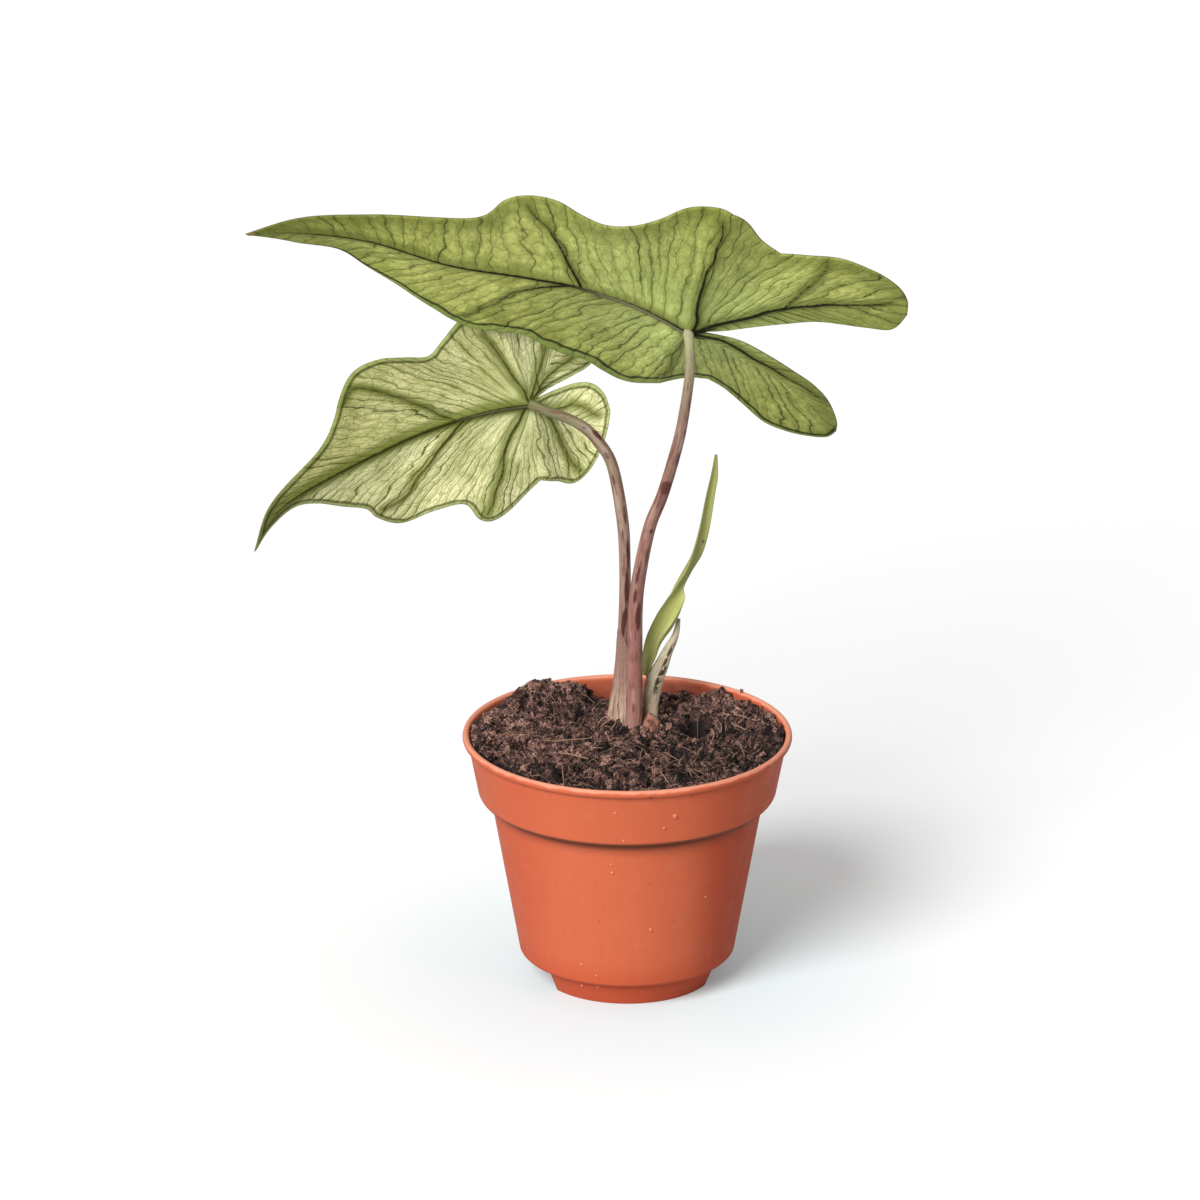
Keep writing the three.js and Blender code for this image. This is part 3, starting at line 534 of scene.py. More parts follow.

# A leaf's flat outline, its bend and its main veins, in mm: u runs along the midrib from the petiole to the
# tip, and v across it, positive on the half that is nearer the front. Veins give their width where they
# start. Bands and tones give, for the near half and then the far one, the margin band's width and the
# painted light and shade by u, as a lightness.
largeLeaf = {
    "attach": (10.87, 4.61, 121.99), "tipward": (-0.968, -0.05, 0.244), "facing": (0.12, 0.765, 0.632),
    "midrib": [(0, 0), (10, 3), (25, 4.4), (44, 3), (60, 4.2), (73, 2.3), (81.4, -0.5)],
    "fold": 6, "lobeRise": 1.2, "ripple": (1.5, 44, -3, 30), "midribWidth": 2.1,
    "near": {
        "lobeVein": (-26, 18), "firstPace": 0.3,
        "sinus": [(-1.5, 0), (-6, 1.2), (-10.5, 3.6), (-16, 6.6), (-22, 9.6), (-30, 10.8), (-34.6, 11.8),
                  (-36, 16.5)],
        "lobe": [(-36, 16.5), (-34.9, 20.8), (-32, 24.8), (-27, 28.3), (-21, 29.6), (-15, 27.1),
                 (-10.5, 25.2)],
        "side": [(-10.5, 25.2), (-6.5, 27.2), (-2.5, 31.2), (1.5, 33), (5.5, 32), (8.6, 29.9), (12, 25.3),
                 (16, 21.3), (20.5, 19.3), (25, 20.2), (30, 22.3), (35, 22), (38.8, 19.7), (41.8, 14.4),
                 (49, 11.4), (61.5, 6.7), (72, 4.2), (81.4, 0)],
    },
    "far": {
        "lobeVein": (-25, -17), "firstPace": 0.3,
        "sinus": [(-1.5, 0), (-6, -0.4), (-10.5, -1.4), (-16.6, -5.2), (-21.4, -8.6), (-26, -12.1),
                  (-30, -17), (-33.2, -24), (-34.2, -28.5)],
        "lobe": [(-34.2, -28.5), (-33, -31), (-29, -31), (-25, -30.5), (-20.5, -29.3), (-15.5, -25.4),
                 (-11.5, -22), (-8, -19.8)],
        "side": [(-8, -19.8), (-4.5, -21), (-0.5, -24.6), (3.8, -29.2), (7, -30), (10.5, -28.2), (14, -26),
                 (19, -25.8), (23, -24.7), (26.5, -23.6), (31, -25), (36, -26.2), (40, -24), (44, -20.2),
                 (51, -14.6), (58, -10.4), (64, -5.8), (72, -4.4), (81.4, 0)],
    },
    "veins": [
        (1.2, [(20.5, 0.4), (29, 13.2), (34.8, 19.6)]),
        (1.3, [(-0.8, 1), (0.6, 14.3), (0.7, 25.3), (1.6, 30.4)]),
        (2.2, [(-0.8, -0.3), (-2.4, 0.3), (-4.5, 1.8)]),
        (1.6, [(-1, 0.1), (-14.7, 11.2), (-21.5, 15.6), (-28.7, 18.2), (-32.3, 19.9)]),
        (0.9, [(-14.7, 11.2), (-18.3, 23.8), (-18.4, 27.7)]),
        (1.4, [(21.6, -0.2), (25.9, -2.6), (31.6, -7.6), (33.7, -13.7), (37.8, -21.3)]),
        (0.6, [(0.4, -1.8), (0.6, -9.8), (0.1, -17), (0.7, -22.3)]),
        (1.9, [(-1.1, -0.7), (-6.2, -1.8), (-16.1, -8.2), (-21.6, -11.7), (-29.6, -16.7)]),
    ],
    "bands": [[(-34, 0.1)],
              [(-34, 1.1), (-12, 1.3), (-4, 2.0), (12, 2.3), (34, 2.5), (48, 1.4), (60, 0.5), (81, 0.2)]],
    "sinusBand": 0.0,
    "tones": [[(-30, 1.0), (-8, 0.98), (5, 0.86), (16, 1.0), (28, 1.15), (38, 1.05), (50, 0.85), (81, 0.8)],
              [(-34, 1.05), (-8, 1.2), (2, 1.22), (10, 1.18), (18, 1.06), (26, 1.24), (34, 1.48), (50, 1.38),
               (81, 1.08)]],
}
smallLeaf = {
    "attach": (-17.57, 28.61, 100.07), "tipward": (-0.854, -0.394, -0.341), "facing": (-0.449, 0.888, 0.099),
    "midrib": [(0, 0), (6, 4.2), (14, 7.6), (24, 9.6), (35, 10), (46, 9.3), (52, 6.5), (58.9, -0.8)],
    "fold": 5, "lobeRise": 1.5, "ripple": (1, 30, 0, 20), "midribWidth": 1.7,
    "near": {
        "lobeVein": (-10, 8), "firstPace": 0.05,
        "sinus": [(-1, 0.4), (-5, 0.7), (-9.5, 0.5), (-13.8, 0.8), (-16.6, 3.4), (-17, 8)],
        "lobe": [(-17, 8), (-15.6, 13), (-12, 17), (-7.5, 18.6), (-3.5, 17.4)],
        "side": [(-3.5, 17.4), (-0.5, 19), (3, 20.6), (6.6, 19), (10, 16.5), (13.2, 14.4), (17, 15.7),
                 (21, 17), (25, 17), (28, 15.7), (31, 12.7), (33, 10), (36, 7.1), (40, 4.9), (47, 2.8),
                 (53, 1.6), (58.9, 0)],
    },
    "far": {
        "lobeVein": (-8, -10), "firstPace": 0.05,
        "sinus": [(-1, 0.4), (-6, -0.4), (-10.6, -1.6), (-13.3, -3.7), (-14.7, -7), (-14.8, -10.8)],
        "lobe": [(-14.8, -10.8), (-13, -14.5), (-9.8, -18.8), (-6.4, -21.6), (-3.6, -21.9), (-0.8, -19.4),
                 (1.7, -18.2)],
        "side": [(1.7, -18.2), (5.8, -21.8), (9.1, -23.6), (12, -23.9), (14, -22.4), (15.6, -18.4),
                 (21, -17.7), (26, -18), (28.8, -16.8), (31.6, -13.6), (33, -10.8), (37.3, -7.5),
                 (41.7, -4.1), (46, -2.1), (52, -1.6), (58.9, 0)],
    },
    "veins": [
        (1.0, [(11.3, 0), (13.1, 0.2), (17.5, 5.6), (22.9, 10.6), (27.4, 13.3), (30.7, 11.7)]),
        (1.0, [(11.4, -0.4), (16.7, -4.8), (21.5, -8.4), (25.5, -11.9), (29.8, -12.5)]),
        (0.9, [(0.3, 0.5), (1.6, 8.9), (3.3, 15.6)]),
        (1.0, [(0, 0), (1.8, -1.5), (6.4, -10.1), (8.7, -16.4), (12.3, -22.1)]),
        (0.8, [(0.1, 1.5), (-3.6, 4.9), (-6.3, 8.4), (-9.6, 12.5)]),
        (0.8, [(-0.4, 0.9), (-6, 3.5), (-12.1, 4.5)]),
        (0.8, [(-1.6, -2), (-3.1, -5.9), (-4.1, -13.3), (-5.7, -19.9)]),
        (0.8, [(-1, -0.7), (-5.3, -4.3), (-8.4, -5.4), (-12, -10.2)]),
    ],
    "bands": [[(0, 0.85)], [(0, 0.85)]],
    "sinusBand": 1.0,
    "tones": [[(-17, 1.5), (-8, 1.35), (-3, 1.05), (3, 0.76), (10, 0.87), (20, 0.79), (30, 0.7), (40, 0.66),
               (58, 0.8)],
              [(-15, 1.95), (-8, 1.8), (-3, 1.4), (1, 1.05), (8, 1.12), (20, 1.22), (30, 1.14), (42, 0.98),
               (58, 1.1)]],
}
blade = {
    "halfThick": 0.24, "edgeRound": 0.5, "midribRise": 0.75, "veinRise": 0.38, "quilt": 0.45,
    "quiltReach": 4.0, "swell": 0.35, "wobble": 0.7, "wobbleSize": 3.4, "sinusColumns": 44, "lobeColumns": 56,
    "sideColumns": 236, "rows": 50, "rowGather": 0.06,
}


def heightAlong(knots, u):  # cubic through the height points, each slope taken between its neighbours
    at, height = np.array(knots, float).T
    after, before = np.minimum(np.arange(len(at)) + 1, len(at) - 1), np.maximum(np.arange(len(at)) - 1, 0)
    slope = (height[after] - height[before]) / (at[after] - at[before])
    k = np.clip(np.searchsorted(at, u) - 1, 0, len(at) - 2)
    span = at[k + 1] - at[k]
    s = np.clip((u - at[k]) / span, 0, 1)
    rise = (2 * s**3 - 3 * s**2 + 1) * height[k] + (3 * s**2 - 2 * s**3) * height[k + 1]
    return rise + span * ((s**3 - 2 * s**2 + s) * slope[k] + (s**3 - s**2) * slope[k + 1])


# Flat (u, v) to the bent blade: along the midrib, across it on the fold, and out of the plane by the midrib's
# arch, the fold, a ripple that grows with the square of v, and what is raised on top.
def bent(leaf, u, v, raised):
    facing = unit(leaf["facing"])
    tipward = np.array(leaf["tipward"], float)
    tipward = unit(tipward - (tipward @ facing) * facing)
    across = np.cross(facing, tipward)
    fold = math.radians(leaf["fold"])
    height, length, start, halfWidth = leaf["ripple"]
    lobeArch = leaf["lobeRise"] * (1 - np.exp(np.minimum(u, 0) / 6))
    arch = np.where(u > 0, heightAlong(leaf["midrib"], np.maximum(u, 0)), lobeArch)
    wave = height * (v / halfWidth) ** 2 * np.cos(2 * np.pi * (u - start) / length)
    out = arch + np.abs(v) * math.sin(fold) + wave + raised
    flat = u[..., None] * tipward + (v * math.cos(fold))[..., None] * across
    return np.array(leaf["attach"]) + flat + out[..., None] * facing


def distanceTo(line, u, v):  # least distance from each point to a line, and the share of its length there
    best, share = np.full(u.shape, 1e9), np.zeros(u.shape)
    steps = np.diff(line, axis=0)
    for k, ((du, dv), (su, sv)) in enumerate(zip(steps, line[:-1])):
        s = np.clip(((u - su) * du + (v - sv) * dv) / (du * du + dv * dv), 0, 1)
        away = np.hypot(u - su - s * du, v - sv - s * dv)
        share = np.where(away < best, (k + s) / len(steps), share)
        best = np.minimum(best, away)
    return best, share


# One half of a blade as columns that run from a main vein to the margin, each with rows from 0 to 1.
def halfGrid(leaf, half):
    lengthOfMidrib = leaf["midrib"][-1][0]
    lobeVein = np.array(half["lobeVein"], float)
    t = np.linspace(0, 1, blade["sinusColumns"] + 1)[:, None]
    q = np.linspace(0, 1, blade["lobeColumns"] + 1)[1:, None]
    p = np.linspace(0, 1, blade["sideColumns"] + 1)[1:]
    s = np.maximum(0, (p - 1 / 6) * 6 / 5)
    alongMidrib = lengthOfMidrib * s * (half["firstPace"] + (1 - half["firstPace"]) * s * s)
    skeleton = np.concatenate([t * lobeVein, (1 - q) * lobeVein, np.column_stack([alongMidrib, 0 * s])])
    margin = np.concatenate([smoothLine(half["sinus"], t[:, 0]), smoothLine(half["lobe"], q[:, 0]),
                             smoothLine(half["side"], p)])
    x = np.linspace(0, 1, blade["rows"])
    w = (x - blade["rowGather"] * np.sin(2 * np.pi * x))[None, :, None]
    grid = skeleton[:, None] + (margin - skeleton)[:, None] * w
    reach = np.linalg.norm(margin - skeleton, axis=1)[:, None]
    lanes = np.stack(np.broadcast_arrays(pathLength(margin)[:, None], reach * w[..., 0]), -1)
    pace = np.linalg.norm(np.gradient(margin, axis=0), axis=1)[:, None]
    squeeze = np.clip(np.linalg.norm(np.gradient(grid, axis=0), axis=2) / pace, 0.02, 1.5)
    return grid[..., 0], grid[..., 1], (1 - w[..., 0]) * reach, lanes, squeeze, margin


def makeBlade(name, leaf, materials, slot, node):
    length = leaf["midrib"][-1][0]
    halves = [halfGrid(leaf, leaf["near"]), halfGrid(leaf, leaf["far"])]
    u, v, inward, lanes, squeeze = (np.stack([half[i] for half in halves]) for i in range(5))
    lanes[1, ..., 0] += 500  # the far half's lanes are others than the near half's
    edgeGap = np.minimum(*(distanceTo(half[5], u, v)[0] for half in halves))
    midGap, along = distanceTo(np.array([(0.0, 0.0), (length, 0.0)]), u, v)
    midHalf = mixed(leaf["midribWidth"], 0.8, np.sqrt(along)) / 2
    veinGap = midGap - midHalf
    ribs = blade["midribRise"] * (1 - 0.8 * along) * np.exp(-((midGap / midHalf) ** 2))
    size = blade["wobbleSize"]  # side veins waver a little
    wobbleU, wobbleV = (at + blade["wobble"] * (lumps(u / size + k, v / size) - 0.5)
                        for at, k in ((u, 70), (v, 90)))
    for width, points in leaf["veins"]:
        line = smoothLine(points, np.linspace(0, 1, 6 * (len(points) - 1) + 1))
        away, share = distanceTo(line, wobbleU, wobbleV)
        veinGap = np.minimum(veinGap, away - mixed(width, 0.7, share**0.7) / 2)
        half = mixed(0.8 * width, 0.3, np.sqrt(share)) / 2
        ribs = np.maximum(ribs, blade["veinRise"] * (1 - 0.7 * share) * np.exp(-((away / half) ** 2)))
    fromStalk = np.hypot(u, v)
    inside = ease(np.clip(edgeGap / 6, 0, 1))
    quilt = blade["quilt"] * (1 - np.exp(-((np.maximum(veinGap, 0) / blade["quiltReach"]) ** 2))) * inside
    drift = blade["swell"] * (lumps(u / 7 + 40, v / 7 + 20) - 0.5) * inside * np.clip(fromStalk / 5, 0, 1)
    half = blade["halfThick"] * np.sqrt(1 - (1 - np.clip(inward / blade["edgeRound"], 0, 1)) ** 2)
    fade = half / blade["halfThick"]
    lower = bent(leaf, u, v, quilt + drift - half - ribs * fade)
    upper = bent(leaf, u, v, quilt + drift + half - 0.25 * ribs * fade)
    _, columns, rows, _ = lower.shape
    quads, kinds = [], []
    for part, (kind, turned) in enumerate([(0, True), (0, False), (1, False), (1, True)]):
        one = gridQuads(columns, rows, part * columns * rows)
        quads.append(one[:, ::-1] if turned else one)
        kinds.append(np.full(len(one), kind))
    points = np.concatenate([lower.reshape(-1, 3), upper.reshape(-1, 3)])
    quads = outward(points, np.concatenate(quads))
    # tone: painted light and shade along each half, by u
    bandWidth, tone = (np.stack([np.interp(u[i], *zip(*leaf[key][i])) for i in (0, 1)])
                       for key in ("bands", "tones"))
    past = np.clip((np.arange(u.shape[1]) - blade["sinusColumns"] + 6) / 12, leaf["sinusBand"], 1)
    bandWidth = np.maximum(bandWidth * past[:, None], 0.1)
    values = {key: np.tile(field.ravel(), 2) for key, field in
              {"veinGap": veinGap, "edgeGap": edgeGap, "midGap": midGap, "fromStalk": fromStalk,
               "squeeze": squeeze, "bandWidth": bandWidth, "tone": tone}.items()}
    addPiece(name, points, quads, materials, slot, (node,), values, np.tile(lanes.reshape(-1, 2), (2, 1)),
             np.concatenate(kinds))


for size, leaf, tones, sizes in (("large", largeLeaf, largeTones, largeSizes),
                                 ("small", smallLeaf, smallTones, smallSizes)):
    sides = [makeUnderside(size + "Underside", tones, sizes),
             makeUpperSide(size + "UpperSide", upperTones, sizes)]
    makeBlade(size + "LeafBlade", leaf, sides, size + "_blade", size + "_leaf_blade")


# The petioles: stations of place, width and depth from the foot to the leaf, and dark stains on the skin:
# height of the middle, the angle that it faces, its length and width in mm, and how dark it is.
largeStem = {
    "sides": 36, "steps": 340,
    "stations": [
        (1.3, 8.0, 41.2, 3.1, 3.1), (1.3, 8.0, 48.5, 3.1, 3.0), (1.4, 7.8, 59.0, 2.8, 2.8),
        (1.6, 7.5, 69.5, 2.6, 2.6), (2.5, 7.2, 76.5, 2.5, 2.5), (4.1, 6.9, 84.2, 2.3, 2.3),
        (6.4, 6.6, 90.4, 2.2, 2.2), (8.5, 6.1, 98.0, 2.1, 2.1), (9.8, 5.7, 103.8, 2.0, 2.0),
        (11.1, 4.9, 113.3, 1.8, 1.8), (11.1, 4.1, 118.6, 1.75, 1.75), (10.85, 4.4, 121.7, 2.0, 1.8),
    ],
    "stains": [
        (92.0, 5, 2.6, 2.6, 1.1), (89.0, 10, 4.5, 2.2, 0.5), (97.5, 30, 3.5, 1.4, 0.6),
        (83.6, 20, 1.0, 0.7, 0.9), (79.0, 30, 4.5, 0.6, 0.7), (75.0, -15, 4.0, 0.6, 0.8),
        (70.8, -14, 3.2, 0.7, 0.9), (67.0, 24, 5.2, 0.9, 1.2), (59.0, 8, 3.5, 0.8, 0.4),
        (54.5, -6, 4.0, 0.7, 0.4), (102.5, 40, 2.5, 1.0, 0.5),
    ],
}
smallStem = {
    "sides": 32, "steps": 360,
    "stations": [
        (-1.6, 10.4, 40.7, 2.4, 2.4), (-1.5, 10.4, 47.0, 2.4, 2.4), (-1.25, 10.4, 52.0, 2.3, 2.3),
        (-0.85, 10.5, 58.1, 2.15, 2.15), (-0.55, 10.7, 64.8, 2.1, 2.1), (-0.4, 11.3, 73.3, 2.1, 2.1),
        (-0.7, 12.7, 81.5, 2.2, 2.2), (-1.8, 14.8, 88.8, 2.2, 2.2), (-3.1, 16.7, 93.4, 2.1, 2.1),
        (-5.5, 18.8, 96.5, 2.1, 2.1), (-7.9, 20.7, 98.3, 2.0, 2.0), (-11.2, 23.2, 99.3, 1.9, 1.9),
        (-14.4, 25.6, 99.6, 1.8, 1.8), (-17.35, 28.25, 100.03, 1.9, 1.8),
    ],
    "stains": [
        (77.0, 35, 5.5, 0.8, 1.0), (71.0, 18, 7.5, 0.8, 1.1), (66.5, 18, 4.0, 0.5, 0.8),
        (84.0, 30, 3.5, 0.7, 0.7), (64.0, -8, 5.0, 0.8, 1.1), (58.5, -10, 1.8, 0.4, 0.7),
        (94.0, 0, 1.2, 1.0, 0.8), (96.8, 50, 1.4, 1.0, 1.0), (98.1, 10, 0.4, 0.8, 0.7),
        (90.0, -20, 2.0, 0.8, 0.6), (80.5, -10, 2.5, 0.5, 0.5),
    ],
}
largeStem["tones"] = {
    "foot": (0.30, 0.145, 0.115), "low": (0.28, 0.12, 0.10), "middle": (0.21, 0.095, 0.072),
    "high": (0.2, 0.12, 0.09), "top": (0.33, 0.32, 0.17), "stain": (0.085, 0.02, 0.016),
    "pale": (0.38, 0.25, 0.2), "streak": (0.13, 0.04, 0.032),
}
smallStem["tones"] = {
    "foot": (0.30, 0.17, 0.12), "low": (0.26, 0.135, 0.105), "middle": (0.225, 0.13, 0.1),
    "high": (0.16, 0.12, 0.07), "top": (0.13, 0.138, 0.06), "stain": (0.07, 0.018, 0.014),
    "pale": (0.38, 0.275, 0.215), "streak": (0.13, 0.048, 0.036),
}


# A petiole's skin: a ramp of tones from the foot to the leaf, clouds, lengthwise streaks, and stains.
def makeStemSkin(name, tones):
    material, tree = newMaterial(name, 0.45, 0.35)
    share, stain = readings(tree, "share", "stain")
    skin = reading(tree, "skin", "Vector")
    drawn = stretched(skin, 1.0, 1.0, 0.12)
    ramp = put("ValToRGB", {0: share})
    stops = ramp.socket.node.color_ramp.elements
    stops[0].color, stops[1].color = (*tones["foot"], 1), (*tones["top"], 1)
    for place, key in ((0.12, "low"), (0.5, "middle"), (0.8, "high")):
        stops.new(place).color = (*tones[key], 1)
    rough = (noise(drawn, 2.8, 4.0, 0.6) - 0.5) * 1.5 * window(stain, 0.02, 0.3)
    colour = layers(ramp, tones, [
        (window(noise(drawn, 1.3, 3.0), 0.45, 0.7, 0.0, 0.6) * window(share, 0.7, 0.88, 1.0, 0.25), "pale"),
        (window(noise(stretched(skin, 1.0, 1.0, 0.4), 0.7, 4.0, 0.6), 0.5, 0.68, 0.0, 0.5), "streak"),
        (flecked(stretched(skin, 1.4, 1.4, 0.2), 1.0, 0.57) * 0.75, "streak"),
        (window(stain + rough, 0.25, 0.8), "stain"),
    ])
    return finishOff(material, colour, grained(drawn, 1.5, 6.0, 0.4), 0.12)


def makeStem(name, stem, leaf, node):
    line = stationLine(stem)
    path, length = line[:, :3], pathLength(line[:, :3])
    turn = fullTurn(stem["sides"])
    ribs = 1 + 0.012 * np.cos(5 * turn)[None] + 0.03 * (lumps(turn[None] * 0.9, length[:, None] / 4) - 0.5)
    points, quads = tube(path, line[:, 3], line[:, 4], stem["sides"], ribs, unit(leaf["facing"]))
    stain = np.zeros(ribs.shape)
    # A turn of -90 degrees faces the front; a stain's angle is counted to the right of that.
    for height, facing, long, wide, dark in stem["stains"]:
        off = (np.degrees(turn) + facing + 90 + 180) % 360 - 180
        sideways = np.radians(off)[None] * line[:, 3:4] / 2
        reach = ((path[:, 2:3] - height) / (long / 2)) ** 2 + (sideways / (wide / 2)) ** 2
        stain = np.maximum(stain, dark * np.exp(-(reach ** 1.5) * 0.7))
    values = {"share": alongShare(length / length[-1], stem["sides"]), "stain": np.append(stain, [0, 0]),
              "skin": roundSkin(np.cos(turn), np.sin(turn), length)}
    material = makeStemSkin(name[:5] + "PetioleSkin", stem["tones"])
    addPiece(name, points, quads, [material], "petiole_skin", (node,), values)


# Plain studio: a pale floor, soft light from the front left, and an even sky.
studio = {"floor": 6.0, "floorTone": (0.67, 0.67, 0.67), "nearTone": (0.55, 0.62, 0.63), "near": (18.0, 70.0),
          "bounceTone": (0.55, 0.55, 0.55), "floorGlow": 0.175, "sun": 4.4, "sunTurn": -32, "sunHeight": 36,
          "softness": 32, "sky": 0.47}


def makeStudio():
    size = studio["floor"]
    mesh = bpy.data.meshes.new("floor")
    corners = [(-size, -size, 0), (size, -size, 0), (size, size, 0), (-size, size, 0)]
    mesh.from_pydata(corners, [], [(0, 1, 2, 3)])
    floor = show("floor", mesh)
    material, tree = newMaterial("floorPaint", 0.9, 0.1)
    shader = tree.nodes["Principled BSDF"].inputs
    seen = put("LightPath", {}, "Is Camera Ray", tree)  # darker to the plant than to the camera
    away = vectors("DISTANCE", placeInMm(tree), potAxis / millimetre, "Value")
    tone = paint(window(away, *studio["near"]), studio["nearTone"], studio["floorTone"])
    tone = paint(seen, studio["bounceTone"], tone)  # the tones near the pot even out the red that it casts
    tree.links.new(tone.socket, shader["Base Color"])
    shader["Emission Color"].default_value = (1, 1, 1, 1)
    tree.links.new((seen * studio["floorGlow"]).socket, shader["Emission Strength"])
    mesh.materials.append(material)
    sun = show("sun", bpy.data.lights.new("sun", "SUN"))
    sun.data.energy = studio["sun"]
    sun.data.angle = math.radians(studio["softness"])
    sun.rotation_euler = (math.radians(90 - studio["sunHeight"]), 0, math.radians(studio["sunTurn"]))
    world = bpy.data.worlds.new("sky")
    bpy.context.scene.world = world
    world.use_nodes = True
    background = world.node_tree.nodes["Background"].inputs
    strength = put("LightPath", {}, "Is Camera Ray", world.node_tree) * (1.0 - studio["sky"]) + studio["sky"]
    world.node_tree.links.new(strength.socket, background["Strength"])
    background["Color"].default_value = (1, 1, 1, 1)
    bpy.context.scene.view_settings.view_transform = "Standard"


makeStudio()
makeStem("largeLeafPetiole", largeStem, largeLeaf, "large_leaf_petiole")
makeStem("smallLeafPetiole", smallStem, smallLeaf, "small_leaf_petiole")

# The new leaf: place, chord across its edges, the angle that it is rolled through, and its turn to the left.
youngBlade = {
    "halfThick": 0.17, "steps": 300, "arcs": 26, "ribRise": 0.16, "ribWidth": 0.12,
    "stations": [
        (3.0, 11.4, 53.6, 1.3, 100, -20), (3.8, 11.4, 56.8, 2.4, 120, -20), (5.0, 11.5, 60.4, 3.3, 130, -15),
        (7.3, 11.6, 64.3, 4.3, 120, -5), (9.0, 11.7, 68.1, 3.3, 130, 10), (9.6, 11.9, 70.4, 2.3, 150, 45),
        (11.2, 12.1, 73.4, 2.6, 130, 60), (12.9, 12.3, 77.0, 2.9, 110, 50), (14.1, 12.5, 81.8, 2.4, 110, 40),
        (15.1, 12.8, 87.7, 1.8, 120, 30), (15.8, 13.0, 91.6, 1.3, 130, 20), (16.1, 13.1, 95.6, 0.35, 130, 20),
    ],
    "inner": (0.40, 0.42, 0.13), "outer": (0.25, 0.255, 0.065), "low": (0.36, 0.4, 0.1),
    "vein": (0.18, 0.21, 0.045), "edge": (0.21, 0.2, 0.075), "dot": (0.03, 0.03, 0.01), "dotAt": (13.8, 78.9),
    "curl": (0.55, 0.5, 58.0, 69.0),
}


# A strip bent to an arc that is open towards facing, from one edge over the inside and back over the outside.
# Its thickness runs out at both edges as a half circle does, and a rib stands out of the middle of its back.
# Curl draws the right edge in towards the middle of the arc, by a share of the radius.
def arcStrip(centres, facing, across, radius, halfAngle, piece, rib=0.0, ribWidth=0.12, curl=0.0,
             curlFrom=0.5):
    share = np.sin(np.linspace(-1, 1, piece["arcs"]) * np.pi / 2)
    thin = piece["halfThick"] * np.sqrt(np.clip(1 - share**6, 0, 1))
    back = thin + rib * np.exp(-((share / ribWidth) ** 2))
    share = np.concatenate([share, share[::-1]])
    shift = np.concatenate([-thin, back[::-1]])
    turn = halfAngle[:, None] * share
    drawn = np.clip((share - curlFrom) / (1 - curlFrom), 0, 1) ** 2
    reach = radius[:, None] * (1 - np.broadcast_to(curl, radius.shape)[:, None] * drawn) + shift
    return (centres[:, None] - facing[:, None] * (reach * np.cos(turn))[..., None]
            + across[:, None] * (reach * np.sin(turn))[..., None]), share


def makeYoungSkin():  # yellow-green, paler on the inside, with fine veins that run lengthwise
    material, tree = newMaterial("youngLeaf", 0.4, 0.45)
    drawn = stretched(placeInMm(tree), 1, 1, 0.4)
    inner, edge, along, dot = readings(tree, "inner", "edge", "share", "dot")
    lane = use(veinLanes, Lanes=reading(tree, "flat", "Vector"), Spacing=0.55, Waver=0.3, Width=0.16)
    colour = layers(youngBlade["low"], youngBlade, [
        (window(along, 0.3, 0.6), "outer"), (inner, "inner"), (window(along, 0.45, 0.65, 0.0, 0.6), "outer"),
        (lane * 0.16, "vein"), (window(noise(drawn, 0.5, 3.0), 0.5, 0.75, 0.0, 0.35), "outer"),
        (window(edge, 0.9, 1.0, 0.0, 0.8), "edge"), (fall(dot, 0.1, 0.35, 0.8), "dot"),
    ])
    return finishOff(material, colour, lane, 0.04)


def makeYoungBlade():
    line = stationLine(youngBlade)
    path = line[:, :3]
    along = unit(np.gradient(path, axis=0))
    front = np.array([0.0, -1.0, 0.0])
    facing = unit(front - along * (along @ front)[:, None])
    turn = np.radians(line[:, 5])[:, None]
    facing = facing * np.cos(turn) + np.cross(along, facing) * np.sin(turn)
    across = np.cross(along, facing)
    half = np.radians(line[:, 4]) / 2
    radius = line[:, 3] / 2 / np.sin(half)
    centres = path + facing * (radius * np.cos(half))[:, None]
    amount, start, low, high = youngBlade["curl"]
    curl = amount * np.clip(1 - ((path[:, 2] - (low + high) / 2) / ((high - low) / 2)) ** 2, 0, 1)
    rings, share = arcStrip(centres, facing, across, radius, half, youngBlade, youngBlade["ribRise"],
                            youngBlade["ribWidth"], curl, start)
    points, quads = closedStrip(rings)
    count, sides = rings.shape[:2]
    lanes = (share[None] * line[:, 3:4] / 2).ravel()
    dotX, dotZ = youngBlade["dotAt"]
    values = {"share": alongShare(np.linspace(0, 1, count), sides),
              "inner": np.append(np.tile(np.arange(sides) < sides // 2, count).astype(float), [0, 0]),
              "edge": np.append(np.tile(np.abs(share), count), [0, 0]),
              "flat": np.column_stack([np.append(lanes, [0, 0]), points[:, 2] * 0.2, 0 * points[:, 2]]),
              "dot": np.hypot(points[:, 0] - dotX, (points[:, 2] - dotZ) * 0.6)}
    addPiece("youngLeafBlade", points, quads, [makeYoungSkin()], "young_blade", ("new_leaf_blade",), values)


makeYoungBlade()

# The new leaf's stalk, flattened into a wide sheath above the soil, with dark green flecks on its right half.
youngStem = {
    "sides": 30, "steps": 160, "groove": (0.1, 4.9, 0.35),
    "stations": [
        (4.4, 11.0, 39.9, 2.4, 2.0), (4.4, 11.0, 45.8, 2.5, 2.1), (4.4, 11.2, 48.9, 2.9, 1.9),
        (5.0, 11.5, 52.5, 3.3, 1.6), (6.2, 11.9, 55.2, 2.7, 1.4), (7.3, 12.3, 57.8, 2.0, 1.3),
        (8.8, 12.9, 60.8, 1.3, 1.1), (9.4, 13.2, 63.9, 0.7, 0.8),
    ],
    "pale": (0.48, 0.42, 0.285), "tan": (0.33, 0.235, 0.16), "fleck": (0.045, 0.032, 0.014),
    "edge": (0.5, 0.46, 0.34), "foot": (0.5, 0.34, 0.26),
}


